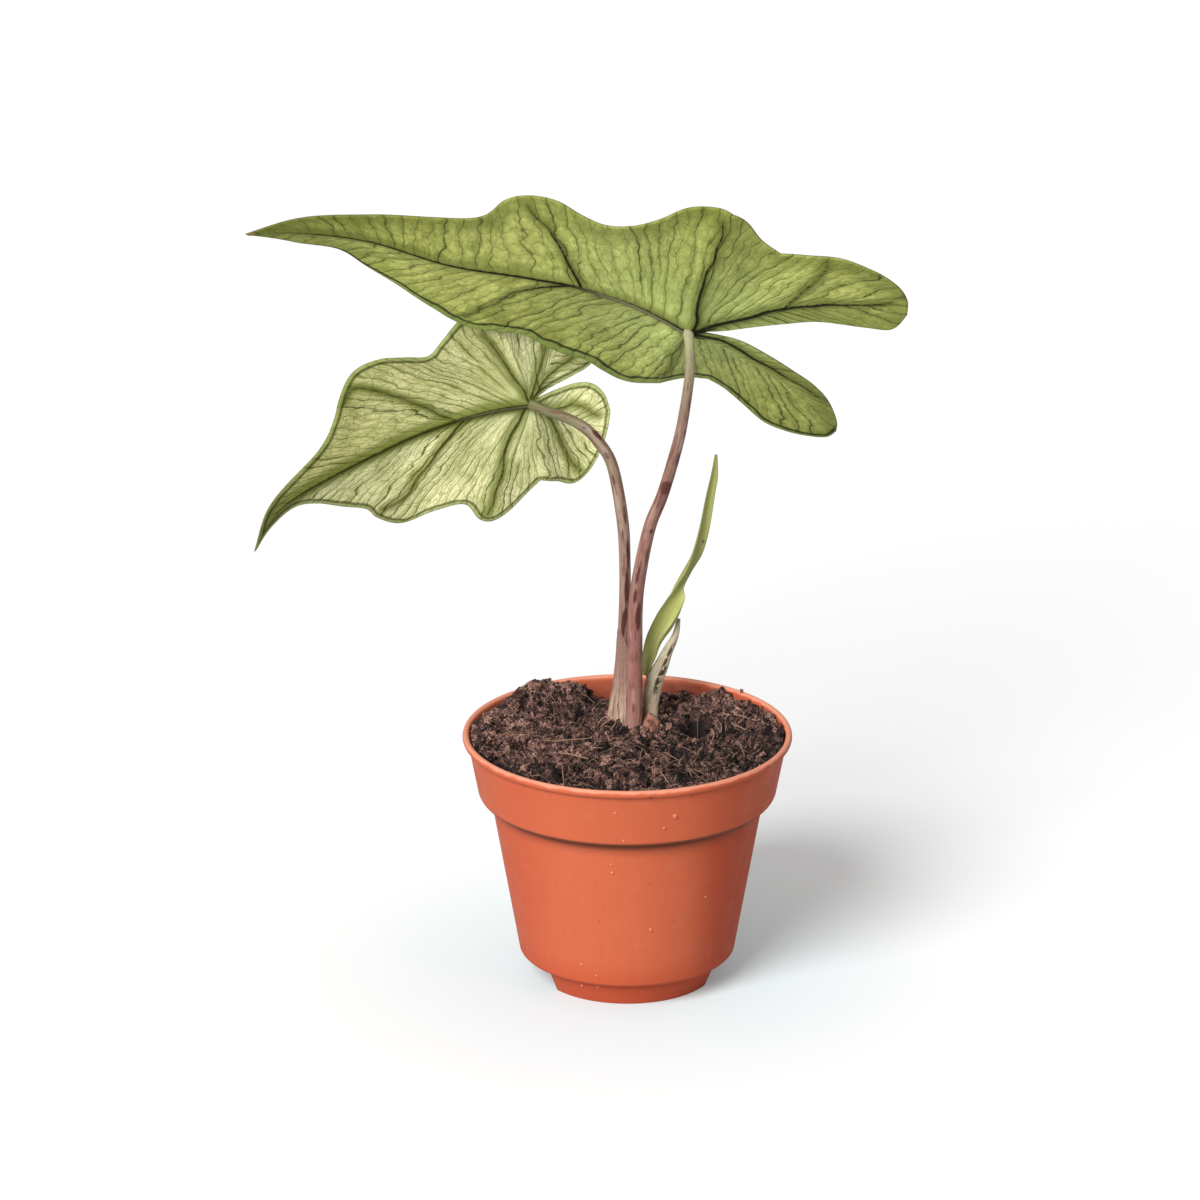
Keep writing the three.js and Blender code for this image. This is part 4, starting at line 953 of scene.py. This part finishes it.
def makeYoungStem():
    material, tree = newMaterial("youngStemSkin", 0.6, 0.35)
    skin = reading(tree, "skin", "Vector")
    right, share = readings(tree, "right", "share")
    drawn = stretched(skin, 1.0, 1.0, 0.2)
    strip = window(right, -0.1, 0.2) * window(share, 0.92, 0.75)
    strip = strip * window(right, 0.85, 0.6) * window(share, 0.36, 0.46)
    colour = layers(youngStem["pale"], youngStem, [
        (window(noise(drawn, 2.2, 3.0), 0.45, 0.65), "tan"), (window(right, 0.8, 0.93), "edge"),
        # painted light: paler and pinker towards the foot, lifting the shade on the lower stalk
        (window(share, 0.5, 0.2, 0.0, 0.7), "foot"),
        (flecked(stretched(skin, 1.6, 1.6, 0.7), 1.1, 0.44, 0.06) * strip, "fleck"),
    ])
    finishOff(material, colour, grained(drawn, 1.5, 5.0, 0.4), 0.15)
    line = stationLine(youngStem)
    path, length = line[:, :3], pathLength(line[:, :3])
    turn = fullTurn(youngStem["sides"])
    depth, middle, width = youngStem["groove"]
    groove = depth * np.exp(-((turn[None] - middle) / width) ** 2)
    ribs = 1 + 0.05 * (lumps(turn[None] * 1.8, length[:, None] / 2.5) - 0.5) - groove
    points, quads = tube(path, line[:, 3], line[:, 4], youngStem["sides"], ribs)
    values = {"skin": roundSkin(-np.cos(turn), np.sin(turn), length),
              "right": np.append(np.broadcast_to(-np.cos(turn), ribs.shape), [0, 0]),
              "share": alongShare(length / length[-1], youngStem["sides"])}
    addPiece("youngLeafPetiole", points, quads, [material], "pale_sheath", ("new_leaf_petiole",), values)


makeYoungStem()

# The papery sheath round the foot of the smaller leaf's petiole: height, the angle that it wraps, how far it
# stands off the petiole's middle, how much it is pressed in at the front, and how much it fills the gap at
# the right.
sheath = {
    "halfThick": 0.08, "steps": 140, "arcs": 48, "opens": (0.85, 0.53, 0.0),
    "stations": [
        (41.0, 250, 2.45, 0.72, 0.0), (45.0, 245, 2.2, 0.75, 0.05), (48.0, 240, 1.75, 0.85, 0.15),
        (51.0, 235, 1.45, 0.95, 0.25), (54.0, 225, 1.28, 1.0, 0.3), (57.0, 215, 1.19, 1.0, 0.3),
        (60.0, 180, 1.14, 1.0, 0.25), (63.0, 60, 1.11, 1.0, 0.0),
    ],
    "tan": (0.32, 0.2, 0.13), "pale": (0.46, 0.34, 0.25), "streak": (0.13, 0.065, 0.04),
    "mauve": (0.26, 0.14, 0.115), "ridge": (0.62, 0.48, 0.37),
}


def makeSheath():
    material, tree = newMaterial("sheathPaper", 0.7, 0.3)
    skin, share = reading(tree, "skin", "Vector"), reading(tree, "share")
    drawn = stretched(skin, 1.0, 0.1, 1.0)
    colour = layers(sheath["tan"], sheath, [
        (window(noise(drawn, 1.6, 4.0, 0.6), 0.4, 0.62), "pale"), (flecked(drawn, 3.0, 0.56), "streak"),
        # painted highlight on the sheath's right front edge, low down
        (window(parts(skin)[0], 2.5, 3.4) * window(share, 0.75, 0.3, 0.0, 0.8), "ridge"),
        (window(share, 0.2, 0.75, 0.0, 0.92), "mauve"),
    ])
    finishOff(material, colour, noise(drawn, 3.0, 3.0), 0.3)
    line = stationLine(sheath)
    petiole = smoothLine(smallStem["stations"], np.linspace(0, 0.5, 400))
    middle = [np.interp(line[:, 0], petiole[:, 2], petiole[:, i]) for i in (0, 1)]
    centres = np.column_stack([*middle, line[:, 0]])
    facing = np.broadcast_to(unit(sheath["opens"]), centres.shape)
    across = np.cross(facing, (0, 0, 1.0))
    ragged = 0.05 * (lumps(line[:, 0] * 1.3, 3.0 + 0 * line[:, 0]) - 0.5)
    rings, share = arcStrip(centres, facing, across, line[:, 2] + ragged, np.radians(line[:, 1]) / 2, sheath)
    offset = rings[..., :2] - centres[:, None, :2]
    offset[..., 1] *= np.where(offset[..., 1] < 0, line[:, 3:4], 1)
    turn = np.clip(np.arctan2(-offset[..., 1], offset[..., 0]), 0, math.pi / 2)
    rings[..., :2] = centres[:, None, :2] + offset * (1 + line[:, 4:5] * np.sin(2 * turn) ** 2)[..., None]
    crease = 0.1 * (lumps(share[None] * 14, line[:, :1] / 5) - 0.3) * np.clip((52 - line[:, :1]) / 8, 0.1, 1)
    rings[..., :2] += (rings[..., :2] - centres[:, None, :2]) * crease[..., None]
    points, quads = closedStrip(rings)
    count, sides = rings.shape[:2]
    skin = np.column_stack([np.tile(share, count) * 4, np.repeat(line[:, 0], sides), np.zeros(count * sides)])
    values = {"skin": np.concatenate([skin, skin[:1], skin[-1:]]),
              "share": alongShare(np.linspace(0, 1, count), sides)}
    addPiece("petioleSheath", points, quads, [material], "pale_sheath", ("basal_sheath",), values)


makeSheath()

# The bud beside the stems, and the corm that stays hidden in the soil.
bud = {"middle": (4.5, 7.1, 45.8), "radii": (1.55, 1.4, 2.1), "rows": 34, "sides": 40, "lean": 0.35,
       "brown": (0.31, 0.13, 0.09), "dark": (0.12, 0.045, 0.03), "pale": (0.42, 0.2, 0.15)}


def makeCormSkin():
    material, tree = newMaterial("cormSkin", 0.65, 0.3)
    drawn = stretched(placeInMm(tree), 1.0, 1.0, 0.35)
    colour = layers(bud["brown"], bud, [
        (window(noise(drawn, 1.4, 3.0), 0.4, 0.65), "dark"), (flecked(drawn, 2.4, 0.56), "pale"),
    ])
    return finishOff(material, colour, grained(drawn, 1.5, 5.0, 0.5), 0.25)


def makeBud():  # a pointed ball whose radius swells in two spiral scales
    height = np.linspace(-1, 1, bud["rows"])[:, None]
    turn = fullTurn(bud["sides"])[None]
    radius = np.sqrt(1 - np.abs(height) ** 2.4) * (1 - 0.3 * np.clip(height, 0, 1))
    scales = 0.1 * np.cos(2 * turn + 4 * height)
    radius = radius * (1 + scales + 0.06 * (lumps(turn * 2, height * 4 + 9) - 0.5))
    lean = bud["lean"] * np.clip(height, 0, 1) ** 2
    ball = np.stack([radius * np.cos(turn) - lean, radius * np.sin(turn), height + 0 * turn], -1)
    points = ball.reshape(-1, 3) * bud["radii"] + bud["middle"]
    quads = gridQuads(bud["rows"], bud["sides"], wrap=True)
    addPiece("cormBud", points, outward(points, quads), [cormSkin], "corm_skin", ("corm_bud",))


cormSkin = makeCormSkin()
makeBud()
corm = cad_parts["corm"]
corm.data.materials.clear()
corm.data.materials.append(cormSkin)
print("corm finished")

# The pot: corners of its wall as radius, height and rounding in mm, from the middle of the underside out,
# up over the rolled rim, and down inside to the floor. Two curved feet stand under it.
pot = {
    "turns": 300, "cornerSteps": 6,
    "corners": [
        (0, 4.7, 0), (19.1, 4.7, 0.3), (19.65, 5.2, 0.3), (24.85, 34.7, 0.2), (24.85, 35.7, 0.3),
        (26.2, 35.8, 0.3), (26.6, 35.2, 0.2), (27.1, 35.8, 0.45), (28.95, 45.4, 0.25), (29.75, 45.6, 0.4),
        (30.0, 46.3, 0.3), (29.75, 46.95, 0.3), (28.95, 46.95, 0.4), (28.3, 45.3, 0.6), (26.3, 37.4, 0.6),
        (25.2, 36.8, 0.3), (24.1, 36.2, 0.4), (19.5, 6.8, 1.0), (18.5, 5.6, 0.5), (0, 5.6, 0),
    ],
    "footCorners": [(14.7, 0, 0.2), (15.9, 0, 0.25), (18.1, 5.15, 0.1), (16.9, 5.15, 0.1)],
    "footHalfAngle": 58, "footTurn": 5, "footSteps": 60, "footCornerSteps": 5,
    "drains": 5, "drainRing": 11.0, "drainRadius": 1.8, "drainSides": 32, "drainHeights": (4.0, 6.3),
    "clay": (0.475, 0.1, 0.043), "clayPale": (0.51, 0.116, 0.053), "clayDeep": (0.38, 0.068, 0.029),
    "clayPaintedShade": (0.42, 0.066, 0.026), "dust": (0.52, 0.2, 0.12), "smudgeAndShadow": (0.16, 0.045, 0.025),
    "wet": (0.56, 0.16, 0.085), "insideShadeAndSoil": (0.2, 0.05, 0.03), "rimHighlight": (0.72, 0.33, 0.22),
    "drops": [  # the angle to the right of the front, the height and the radius of each
        (-4.6, 42.3, 0.28), (17.5, 41.2, 0.5), (13.6, 38.9, 0.3), (-7.1, 30.6, 0.26), (-6.7, 28.9, 0.34),
        (38.7, 21.8, 0.28), (11.2, 16.9, 0.34), (-24.1, 8.9, 0.34), (-28.4, 3.4, 0.32), (-17.6, 3.8, 0.34),
        (-16.3, 7.0, 0.22), (-1.4, 36.6, 0.25), (120.0, 24.0, 0.3), (152.0, 14.0, 0.34), (-140.0, 30.0, 0.3),
        (-118.0, 12.0, 0.26), (171.0, 41.5, 0.32),
    ],
}


def roundedProfile(corners, steps):  # each corner becomes a curve between points that far from it
    corners = np.array(corners, float)
    line = []
    for k, (r, z, rounding) in enumerate(corners):
        here = np.array([r, z])
        if rounding == 0:
            line.append(here[None])
            continue
        before = here + rounding * unit(corners[k - 1, :2] - here)
        after = here + rounding * unit(corners[(k + 1) % len(corners), :2] - here)
        t = np.linspace(0, 1, steps)[:, None]
        line.append((1 - t) ** 2 * before + 2 * t * (1 - t) * here + t**2 * after)
    return np.concatenate(line)


def turnedAbout(profile, angles):  # the profile's radius and height carried round the pot's axis
    radius, height = profile[None, :, 0], profile[None, :, 1]
    angles = angles[:, None]
    return np.stack([radius * np.cos(angles), radius * np.sin(angles), height + 0 * angles], -1)


# Satin plastic: slight clouding, painted shade on the sides and towards the bottom, fine upright scuffs, a
# painted highlight along the top of the rim, soil smudges and a painted shadow line below the rim, a painted
# shadow below the collar, and painted shade on the inner wall mixed with soil stains.
def makePotSkin():
    material, tree = newMaterial("potPlastic", 0.5, 0.12)
    place = placeInMm(tree)
    right, _, height = parts(place)
    # painted shade on the sides, the right side more than the left, half as much on the collar
    sides = window(right, 19.0, 27.0) + window(right, -2.0, -11.0, 0.0, 0.5)
    # a band under the rim bead, broken by noise: soil smudges and a painted shadow line below the bead
    underRim = window(height, 44.2, 45.4) * window(height, 46.3, 45.8)
    underRim = underRim * window(noise(place, 0.06), 0.45, 0.58, 0.1, 0.75)
    # painted shadow on the wall below the collar's overhang, strongest just under it
    collarShadow = window(height, 31.5, 34.5, 0.0, 0.45) + window(height, 33.3, 34.3, 0.0, 0.5)
    # painted shade on the inner wall, mostly even, with soil stains by noise
    insideShadeAndSoil = window(noise(place, 0.3, 5.0, 0.6), 0.45, 0.7) * 0.35 + 0.62
    colour = layers(pot["clay"], pot, [
        (noise(place, 0.05, 3.0), "clayPale"), (sides * window(height, 34.5, 36.0, 1.0, 0.5), "clayPaintedShade"),
        (flecked(stretched(place, 1.0, 1.0, 0.05), 0.9, 0.62) * 0.15, "clayDeep"),
        (window(noise(place, 0.25, 5.0, 0.7), 0.52, 0.8) * 0.2, "dust"),
        # painted highlight along the top of the rim
        (window(height + noise(place, 0.5, 3.0) * 0.8, 46.7, 47.2, 0.0, 0.6), "rimHighlight"),
        (flecked(stretched(place, 1.0, 1.0, 2.0), 0.5, 0.54) * underRim, "smudgeAndShadow"),
        # painted shadow below the collar
        (collarShadow * window(height, 35.9, 35.6), "smudgeAndShadow"),
        (reading(tree, "inside") * insideShadeAndSoil, "insideShadeAndSoil"),
        (flecked(place, 1.1, 0.74, 0.02) * 0.8, "smudgeAndShadow"),
        # painted shade towards the bottom and over the feet
        (window(height, 11.0, 3.0, 0.0, 0.8), "clayPaintedShade"),
    ])
    relief = grained(stretched(place, 1.0, 1.0, 0.3), 0.35, 2.5, 0.25)
    return finishOff(material, colour, relief, 0.07, window(noise(place, 0.3, 4.0), 0.3, 0.7, 0.45, 0.58))


def makePot():
    wall = roundedProfile(pot["corners"], pot["cornerSteps"])
    body = turnedAbout(wall, fullTurn(pot["turns"])).reshape(-1, 3)
    grid = gridQuads(pot["turns"] + 1, len(wall)) % len(body)
    shells = [(body, outward(body, grid))]
    foot = roundedProfile(pot["footCorners"], pot["footCornerSteps"])
    spread = math.radians(pot["footHalfAngle"])
    for middle in np.radians([pot["footTurn"] - 90, pot["footTurn"] + 90]):
        rings = turnedAbout(foot, middle + np.linspace(-spread, spread, pot["footSteps"]))
        shells.append(closedStrip(rings))
    points, quads = join(shells)
    inside = np.zeros(len(points))
    pastRim = np.arange(len(wall)) > np.argmax(wall[:, 1]) + pot["cornerSteps"]
    inside[:len(body)] = np.tile(pastRim, pot["turns"])
    values = {"inside": inside}
    cutDrains(addPiece("nurseryPot", points, quads, [makePotSkin()], "pot_plastic", ("pot",), values))


def cutDrains(piece):  # round holes through the floor
    turn = fullTurn(pot["drainSides"])
    shells = []
    for angle in fullTurn(pot["drains"]):
        middle = pot["drainRing"] * np.array([math.cos(angle), math.sin(angle)])
        ring = middle + pot["drainRadius"] * np.column_stack([np.cos(turn), np.sin(turn)])
        rings = [np.column_stack([ring, np.full(len(ring), height)]) for height in pot["drainHeights"]]
        shells.append(closedStrip(np.stack(rings)))
    points, quads = join(shells)
    mesh = bpy.data.meshes.new("drains")
    mesh.from_pydata(toFrame(points).tolist(), [], [[*dict.fromkeys(quad)] for quad in quads.tolist()])
    cutter = show("drains", mesh)
    cut = piece.modifiers.new("drains", "BOOLEAN")
    cut.operation, cut.solver, cut.object = "DIFFERENCE", "EXACT", cutter
    bpy.context.view_layer.objects.active = piece
    bpy.ops.object.modifier_apply(modifier="drains")
    bpy.data.objects.remove(cutter)


def makeDrops():  # small domes of water on the wall: a flattened ball, half sunk, facing straight out
    material, tree = newMaterial("waterDrops", 0.25, 0.5)
    place = placeInMm(tree)
    finishOff(material, paint(noise(place, 1.5), pot["wet"], pot["clayPale"]), noise(place, 2.0), 0.02)
    wall = roundedProfile(pot["corners"], pot["cornerSteps"])
    outer = wall[:np.argmax(wall[:, 1])]
    foot = roundedProfile(pot["footCorners"], pot["footCornerSteps"])
    rows, sides, depth, sag, above = 9, 14, 0.55, 0.12, 5.4
    polar, turn = np.meshgrid(np.linspace(0, np.pi, rows), fullTurn(sides), indexing="ij")
    up = np.array([0, 0, 1.0])
    shells = []
    for angle, height, size in pot["drops"]:
        line = outer if height > above else foot[:len(foot) // 2 + 3]
        order = np.argsort(line[:, 1])
        radius = np.interp(height, line[order, 1], line[order, 0])
        out = np.array([math.sin(math.radians(angle)), -math.cos(math.radians(angle)), 0.0])
        side = np.cross(out, up)
        ball = ((np.cos(polar) * depth)[..., None] * out + (np.sin(polar) * np.cos(turn))[..., None] * side
                + (np.sin(polar) * np.sin(turn) * (1 - sag * np.sin(turn)))[..., None] * up)
        points = (ball * size).reshape(-1, 3) + radius * out + height * up
        shells.append((points, outward(points, gridQuads(rows, sides, wrap=True))))
    addPiece("waterDrops", *join(shells), [material], "pot_plastic")


makePot()
makeDrops()

# The soil: its level, swells and lumps as in the solid, then crumbs in three sizes as relief, and loose
# crumbs and fibres that lie on it.
soil = {
    "level": 43.2, "lumpHeight": 1.9, "lumpSize": 4.4, "seed": 11, "grid": 300, "radius": 27.45,
    "swells": [
        (1, 9, 2.3, 8), (-17.5, 18, 4.0, 5.5), (-11, 21, 4.2, 5.5), (17, 18.5, 3.0, 8), (-26, 2, 2.6, 9),
        (26, 0, 2.3, 9), (-18, -18, 1.0, 8), (12, 9.5, -2.8, 2.6),
    ],
    "heaps": [(-24.5, 9.5, 2.1, 5.5), (24, 11, 1.5, 6), (27, -3, 1.0, 7), (-27, -3, 1.2, 7)],
    "hollows": [(5.4, 2.4, -1.3, 1.5), (-0.5, -17.5, -1.0, 1.6), (-9.0, 13.5, -1.2, 1.8),
                (12.4, 9.0, -2.0, 2.4), (-4.2, 7.2, -1.6, 2.6)],
    "pits": [
        (12.4, 10.5, 3.6), (5.4, 1.8, 1.6), (-0.5, -18.0, 2.0), (-5.5, 20.0, 3.5), (-13.0, -14.4, 2.6),
        (9.5, -13.5, 3.0), (-3.5, -0.6, 2.0), (-8.0, -7.5, 1.5),
    ],
    "crumbSizes": [(2.5, 0.95), (1.15, 0.9), (0.55, 0.6)], "around": 0.9,
    "skirt": [(27.2, 41.6), (26.0, 37.3), (23.8, 35.8), (18.9, 6.9), (17.9, 5.95)],
    "crumbs": 4600, "crumbSides": 6, "crumbRings": 5, "crumbReach": 26.9, "crumbSize": (0.15, 0.6),
    "crumbStretch": (0.4, 1.6), "crumbRough": (0.35, 1.5), "fibres": 330, "fibreReach": 25,
    "fibreLimit": 26.6, "fibreBend": 0.2, "fibreLength": (1.4, 6.5), "fibreThick": (0.07, 0.15),
    "fibreSteps": 22, "fibreSides": 6,
    "longFibres": [  # places seen from above, and the thickness
        ([(-15.3, 0.1), (-10.4, 2.2), (-4.8, 5.6)], 0.26), ([(-13.5, -3.6), (-10.5, -4.4), (-7, -6)], 0.26),
        ([(17.4, 12.2), (22.0, 6.5), (26.5, 1.2)], 0.24), ([(14.8, 10.7), (15.8, 5.5), (15.2, 0.1)], 0.26),
        ([(16.4, 12.0), (17.2, 7.2), (17.0, 3.1)], 0.2), ([(18.8, 8.2), (20.6, 4.2), (22.7, 0.1)], 0.22),
        ([(3.7, -8.9), (5.9, -13.8), (7.4, -18.6)], 0.24), ([(-24.9, -3.9), (-21.4, 0.3), (-17.7, 4.6)], 0.2),
        ([(-2.6, 8.7), (-3.7, 8.0), (-4.9, 7.8)], 0.2), ([(-2.0, 8.2), (-2.3, 7.3), (-3.2, 6.7)], 0.18),
        ([(-3.4, 9.5), (-4.6, 9.3), (-5.9, 8.4)], 0.18), ([(-1.0, 8.1), (-0.8, 7.3), (-1.4, 6.6)], 0.16),
    ],
    "stray": (21.1, 20.2, 47.05, 0.45),
    "brown": (0.105, 0.051, 0.04), "dark": (0.007, 0.005, 0.0045), "rosy": (0.38, 0.2, 0.155),
    "glint": (0.5, 0.31, 0.26), "fibre": (0.3, 0.18, 0.12), "fibreDark": (0.13, 0.065, 0.045),
}


def soilTop(x, y):
    z = soil["level"] + 0 * x
    for centreX, centreY, rise, reach in soil["swells"] + soil["heaps"] + soil["hollows"]:
        z = z + rise * np.exp(-((x - centreX) ** 2 + (y - centreY) ** 2) / reach**2)
    size, height = soil["lumpSize"], soil["lumpHeight"]
    z = z + height * (lumps(x / size + 9, y / size + 4) - 0.5)
    z = z + 0.7 * height * (lumps(2.1 * x / size, 2.1 * y / size + 7) - 0.5)
    for size, height in soil["crumbSizes"]:
        bentX = x / size + 0.9 * lumps(1.7 * x / size, 1.7 * y / size)
        bentY = y / size + 0.9 * lumps(1.7 * x / size + 50, 1.7 * y / size)
        z = z + height * (pebbles(bentX + 7, bentY + 3) - 0.42)
    return z


# painted shade: darker where the soil lies below the soil round it, and in the pits
def creviceShade(x, y):  # how dark the soil is: where it lies below the soil round it, and in the pits
    turns, reach = np.arange(6) * math.pi / 3, soil["around"]
    level = sum(soilTop(x + reach * math.cos(turn), y + reach * math.sin(turn)) for turn in turns) / 6
    dark = np.clip((level - soilTop(x, y) + 0.1) / 0.6, 0, 1)
    for centreX, centreY, reach in soil["pits"]:
        dark = np.maximum(dark, np.exp(-(((x - centreX) ** 2 + (y - centreY) ** 2) / reach**2) ** 2))
    return dark


# Near-black in the gaps, brown with a rosy cast on the crumbs, each crumb with a tone of its own, painted
# glints, and painted shade from the deep attribute in the hollows and pits.
def makeSoilSkin():
    material, tree = newMaterial("pottingSoil", 0.95, 0.25)
    place = placeInMm(tree)
    tone, deep = readings(tree, "tone", "deep")
    right, back, _ = parts(place)
    leftMiddle = window(right, 14.0, -6.0) * window(back, -18.0, -6.0, 0.1, 1.0)
    leftMiddle = leftMiddle * window(back, 15.0, 4.0, 0.1, 1.0)
    broad = noise(place, 0.14, 3.0) * 0.5 + leftMiddle * 0.13
    broad = broad + window(back + right * 0.3, 4.5, 11.5, 0.0, 0.1)  # paler at the back and the right
    patch = broad + tone * 0.5
    colour = layers(soil["dark"], soil, [
        (window(patch, 0.3, 0.55), "brown"), (window(patch, 0.5, 0.78), "rosy"),
        (flecked(place, 3.0, 0.5, 0.06) * 0.8, "dark"),
        (flecked(place, 3.4, 0.58, 0.08) * window(patch, 0.3, 0.6, 0.2, 0.7), "glint"), (deep, "dark"),
    ])
    return finishOff(material, colour, grained(place, 1.6, 5.0, 0.5), 0.6)


def makeSoil():
    line = np.linspace(-1, 1, soil["grid"])
    a, b = np.meshgrid(line, line, indexing="ij")
    wide = np.abs(a) >= np.abs(b)  # a square pressed into a disc: the larger coordinate becomes the radius
    reach = np.where(wide, a, b)
    share = np.where(wide, b, a) / np.where(np.abs(reach) < 1e-9, 1, reach) * math.pi / 4
    x = soil["radius"] * reach * np.where(wide, np.cos(share), np.sin(share))
    y = soil["radius"] * reach * np.where(wide, np.sin(share), np.cos(share))
    z = soilTop(x, y)
    lean = 1 + 0.012 * np.clip(z - 43, 0, 3) * np.abs(reach) ** 6  # the wall leans outwards
    x, y = x * lean, y * lean
    n = soil["grid"]
    index = np.arange(n * n).reshape(n, n)
    rim = np.concatenate([index[0, :-1], index[:-1, -1], index[-1, :0:-1], index[:0:-1, 0]])
    top = np.stack([x, y, z], -1).reshape(-1, 3)
    around = unit(top[rim][:, :2])
    count = len(rim)
    rings = [np.column_stack([around * radius, np.full(count, height)]) for radius, height in soil["skirt"]]
    points = np.concatenate([top, *rings, [(0, 0, soil["skirt"][-1][1])]])
    belts = [rim] + [n * n + k * count + np.arange(count) for k in range(len(rings))]
    quads = [gridQuads(n, n)]
    for upper, lower in zip(belts[:-1], belts[1:]):
        quads.append(np.stack([upper, lower, np.roll(lower, -1), np.roll(upper, -1)], -1))
    quads.append(fan(belts[-1], len(points) - 1))
    # deep: the painted shade of the hollows and pits
    deep = creviceShade(x, y).ravel()
    extra = len(points) - n * n
    values = {"deep": np.append(deep, np.full(extra, 0.6)),
              "tone": np.append(0.9 * lumps(x / 0.8, y / 0.8).ravel(), np.zeros(extra))}
    quads = np.concatenate(quads)
    addPiece("soilBed", points, outward(points, quads), [soilSkin], "potting_soil", ("soil",), values)


def makeCrumbs():  # balls of few faces, each stretched, turned and roughened by its own draw
    draw = np.random.default_rng(soil["seed"])
    count, rings, sides = soil["crumbs"], soil["crumbRings"], soil["crumbSides"]
    polar, turn = np.meshgrid(np.linspace(0, np.pi, rings), fullTurn(sides), indexing="ij")
    ball = np.stack([np.sin(polar) * np.cos(turn), np.sin(polar) * np.sin(turn), np.cos(polar)], -1)
    ball = ball.reshape(-1, 3)
    poles = (np.repeat(np.arange(rings), sides) % (rings - 1)) == 0
    rough = draw.uniform(*soil["crumbRough"], (count, len(ball)))
    rough[:, poles] = 1.0
    least, more = soil["crumbSize"]
    size = least + more * draw.random(count) ** 4
    stretch = draw.uniform(*soil["crumbStretch"], (count, 3)) * size[:, None]
    axes, _ = np.linalg.qr(draw.normal(size=(count, 3, 3)))
    axes = axes * np.sign(np.linalg.det(axes))[:, None, None]
    away, angle = soil["crumbReach"] * np.sqrt(draw.random(count)), draw.uniform(0, 2 * np.pi, count)
    x, y = away * np.cos(angle), away * np.sin(angle)
    centre = np.column_stack([x, y, soilTop(x, y) + 0.25 * size])
    centre[0] = soil["stray"][:3]
    stretch[0] = soil["stray"][3]
    shaped = ball[None] * rough[..., None] * stretch[:, None]
    points = np.einsum("nij,nvj->nvi", axes, shaped) + centre[:, None]
    quads = gridQuads(rings, sides, wrap=True)
    if outward(ball, quads) is not quads:
        quads = quads[:, ::-1]
    quads = (quads[None] + (np.arange(count) * len(ball))[:, None, None]).reshape(-1, 4)
    tone = np.repeat(draw.random(count) ** 1.3, len(ball))
    # each crumb takes the painted shade of the place where it lies, with a random spread
    deep = np.clip(draw.normal(0.0, 0.3, count) + creviceShade(x, y), 0, 1)
    deep[0] = 0.1
    deep = np.repeat(deep, len(ball))
    piece = addPiece("soilCrumbs", points.reshape(-1, 3), quads, [soilSkin], "potting_soil", (),
                     {"tone": tone, "deep": deep})
    piece.data.shade_flat()


def makeFibres():  # thin bent roots: a curve over the soil, a little above it, tapering to both ends
    material, tree = newMaterial("rootFibre", 0.8, 0.3)
    place = placeInMm(tree)
    mask = window(reading(tree, "tone") + noise(place, 0.8) * 0.5, 0.5, 1.0)
    finishOff(material, paint(mask, soil["fibreDark"], soil["fibre"]), noise(place, 3.0, 3.0), 0.15)
    draw = np.random.default_rng(soil["seed"] + 1)
    routes = [(np.array(points, float), thick, 0.9) for points, thick in soil["longFibres"]]
    for _ in range(soil["fibres"]):
        away, angle = soil["fibreReach"] * math.sqrt(draw.random()), draw.uniform(0, 2 * math.pi)
        heading = draw.uniform(0, 2 * math.pi)
        start = away * np.array([math.cos(angle), math.sin(angle)])
        bend, length = draw.normal(0.0, soil["fibreBend"]), draw.uniform(*soil["fibreLength"])
        steps = np.array([[math.cos(heading + bend * k), math.sin(heading + bend * k)] for k in range(3)])
        route = start + np.cumsum(steps, axis=0) * length / 3
        if np.hypot(*route.T).max() < soil["fibreLimit"]:
            routes.append((route, draw.uniform(*soil["fibreThick"]), draw.random() * 0.9))
    shells, tones = [], []
    t = np.linspace(0, 1, soil["fibreSteps"])
    for route, thick, tone in routes:
        flat = smoothLine(route, t)
        ground = soilTop(flat[:, 0], flat[:, 1])
        straight = np.polyval(np.polyfit(t, ground, 1), t)
        smooth = np.convolve(np.pad(ground, 5, mode="edge"), np.ones(11) / 11, mode="valid")
        height = np.maximum(straight, smooth) + 0.4 + 0.4 * np.sin(np.pi * t)
        height = height + draw.uniform(-0.6, 0.9) * (t - 0.4)
        path = np.column_stack([flat, height])
        taper = thick * (0.35 + 0.65 * np.sin(np.pi * np.clip(t, 0.02, 0.98)) ** 0.5)
        shells.append(tube(path, taper, taper, soil["fibreSides"]))
        tones.append(np.full(len(shells[-1][0]), tone))
    points, quads = join(shells)
    addPiece("soilFibres", points, quads, [material], "potting_soil", (), {"tone": np.concatenate(tones)})


soilSkin = makeSoilSkin()
makeSoil()
makeCrumbs()
makeFibres()
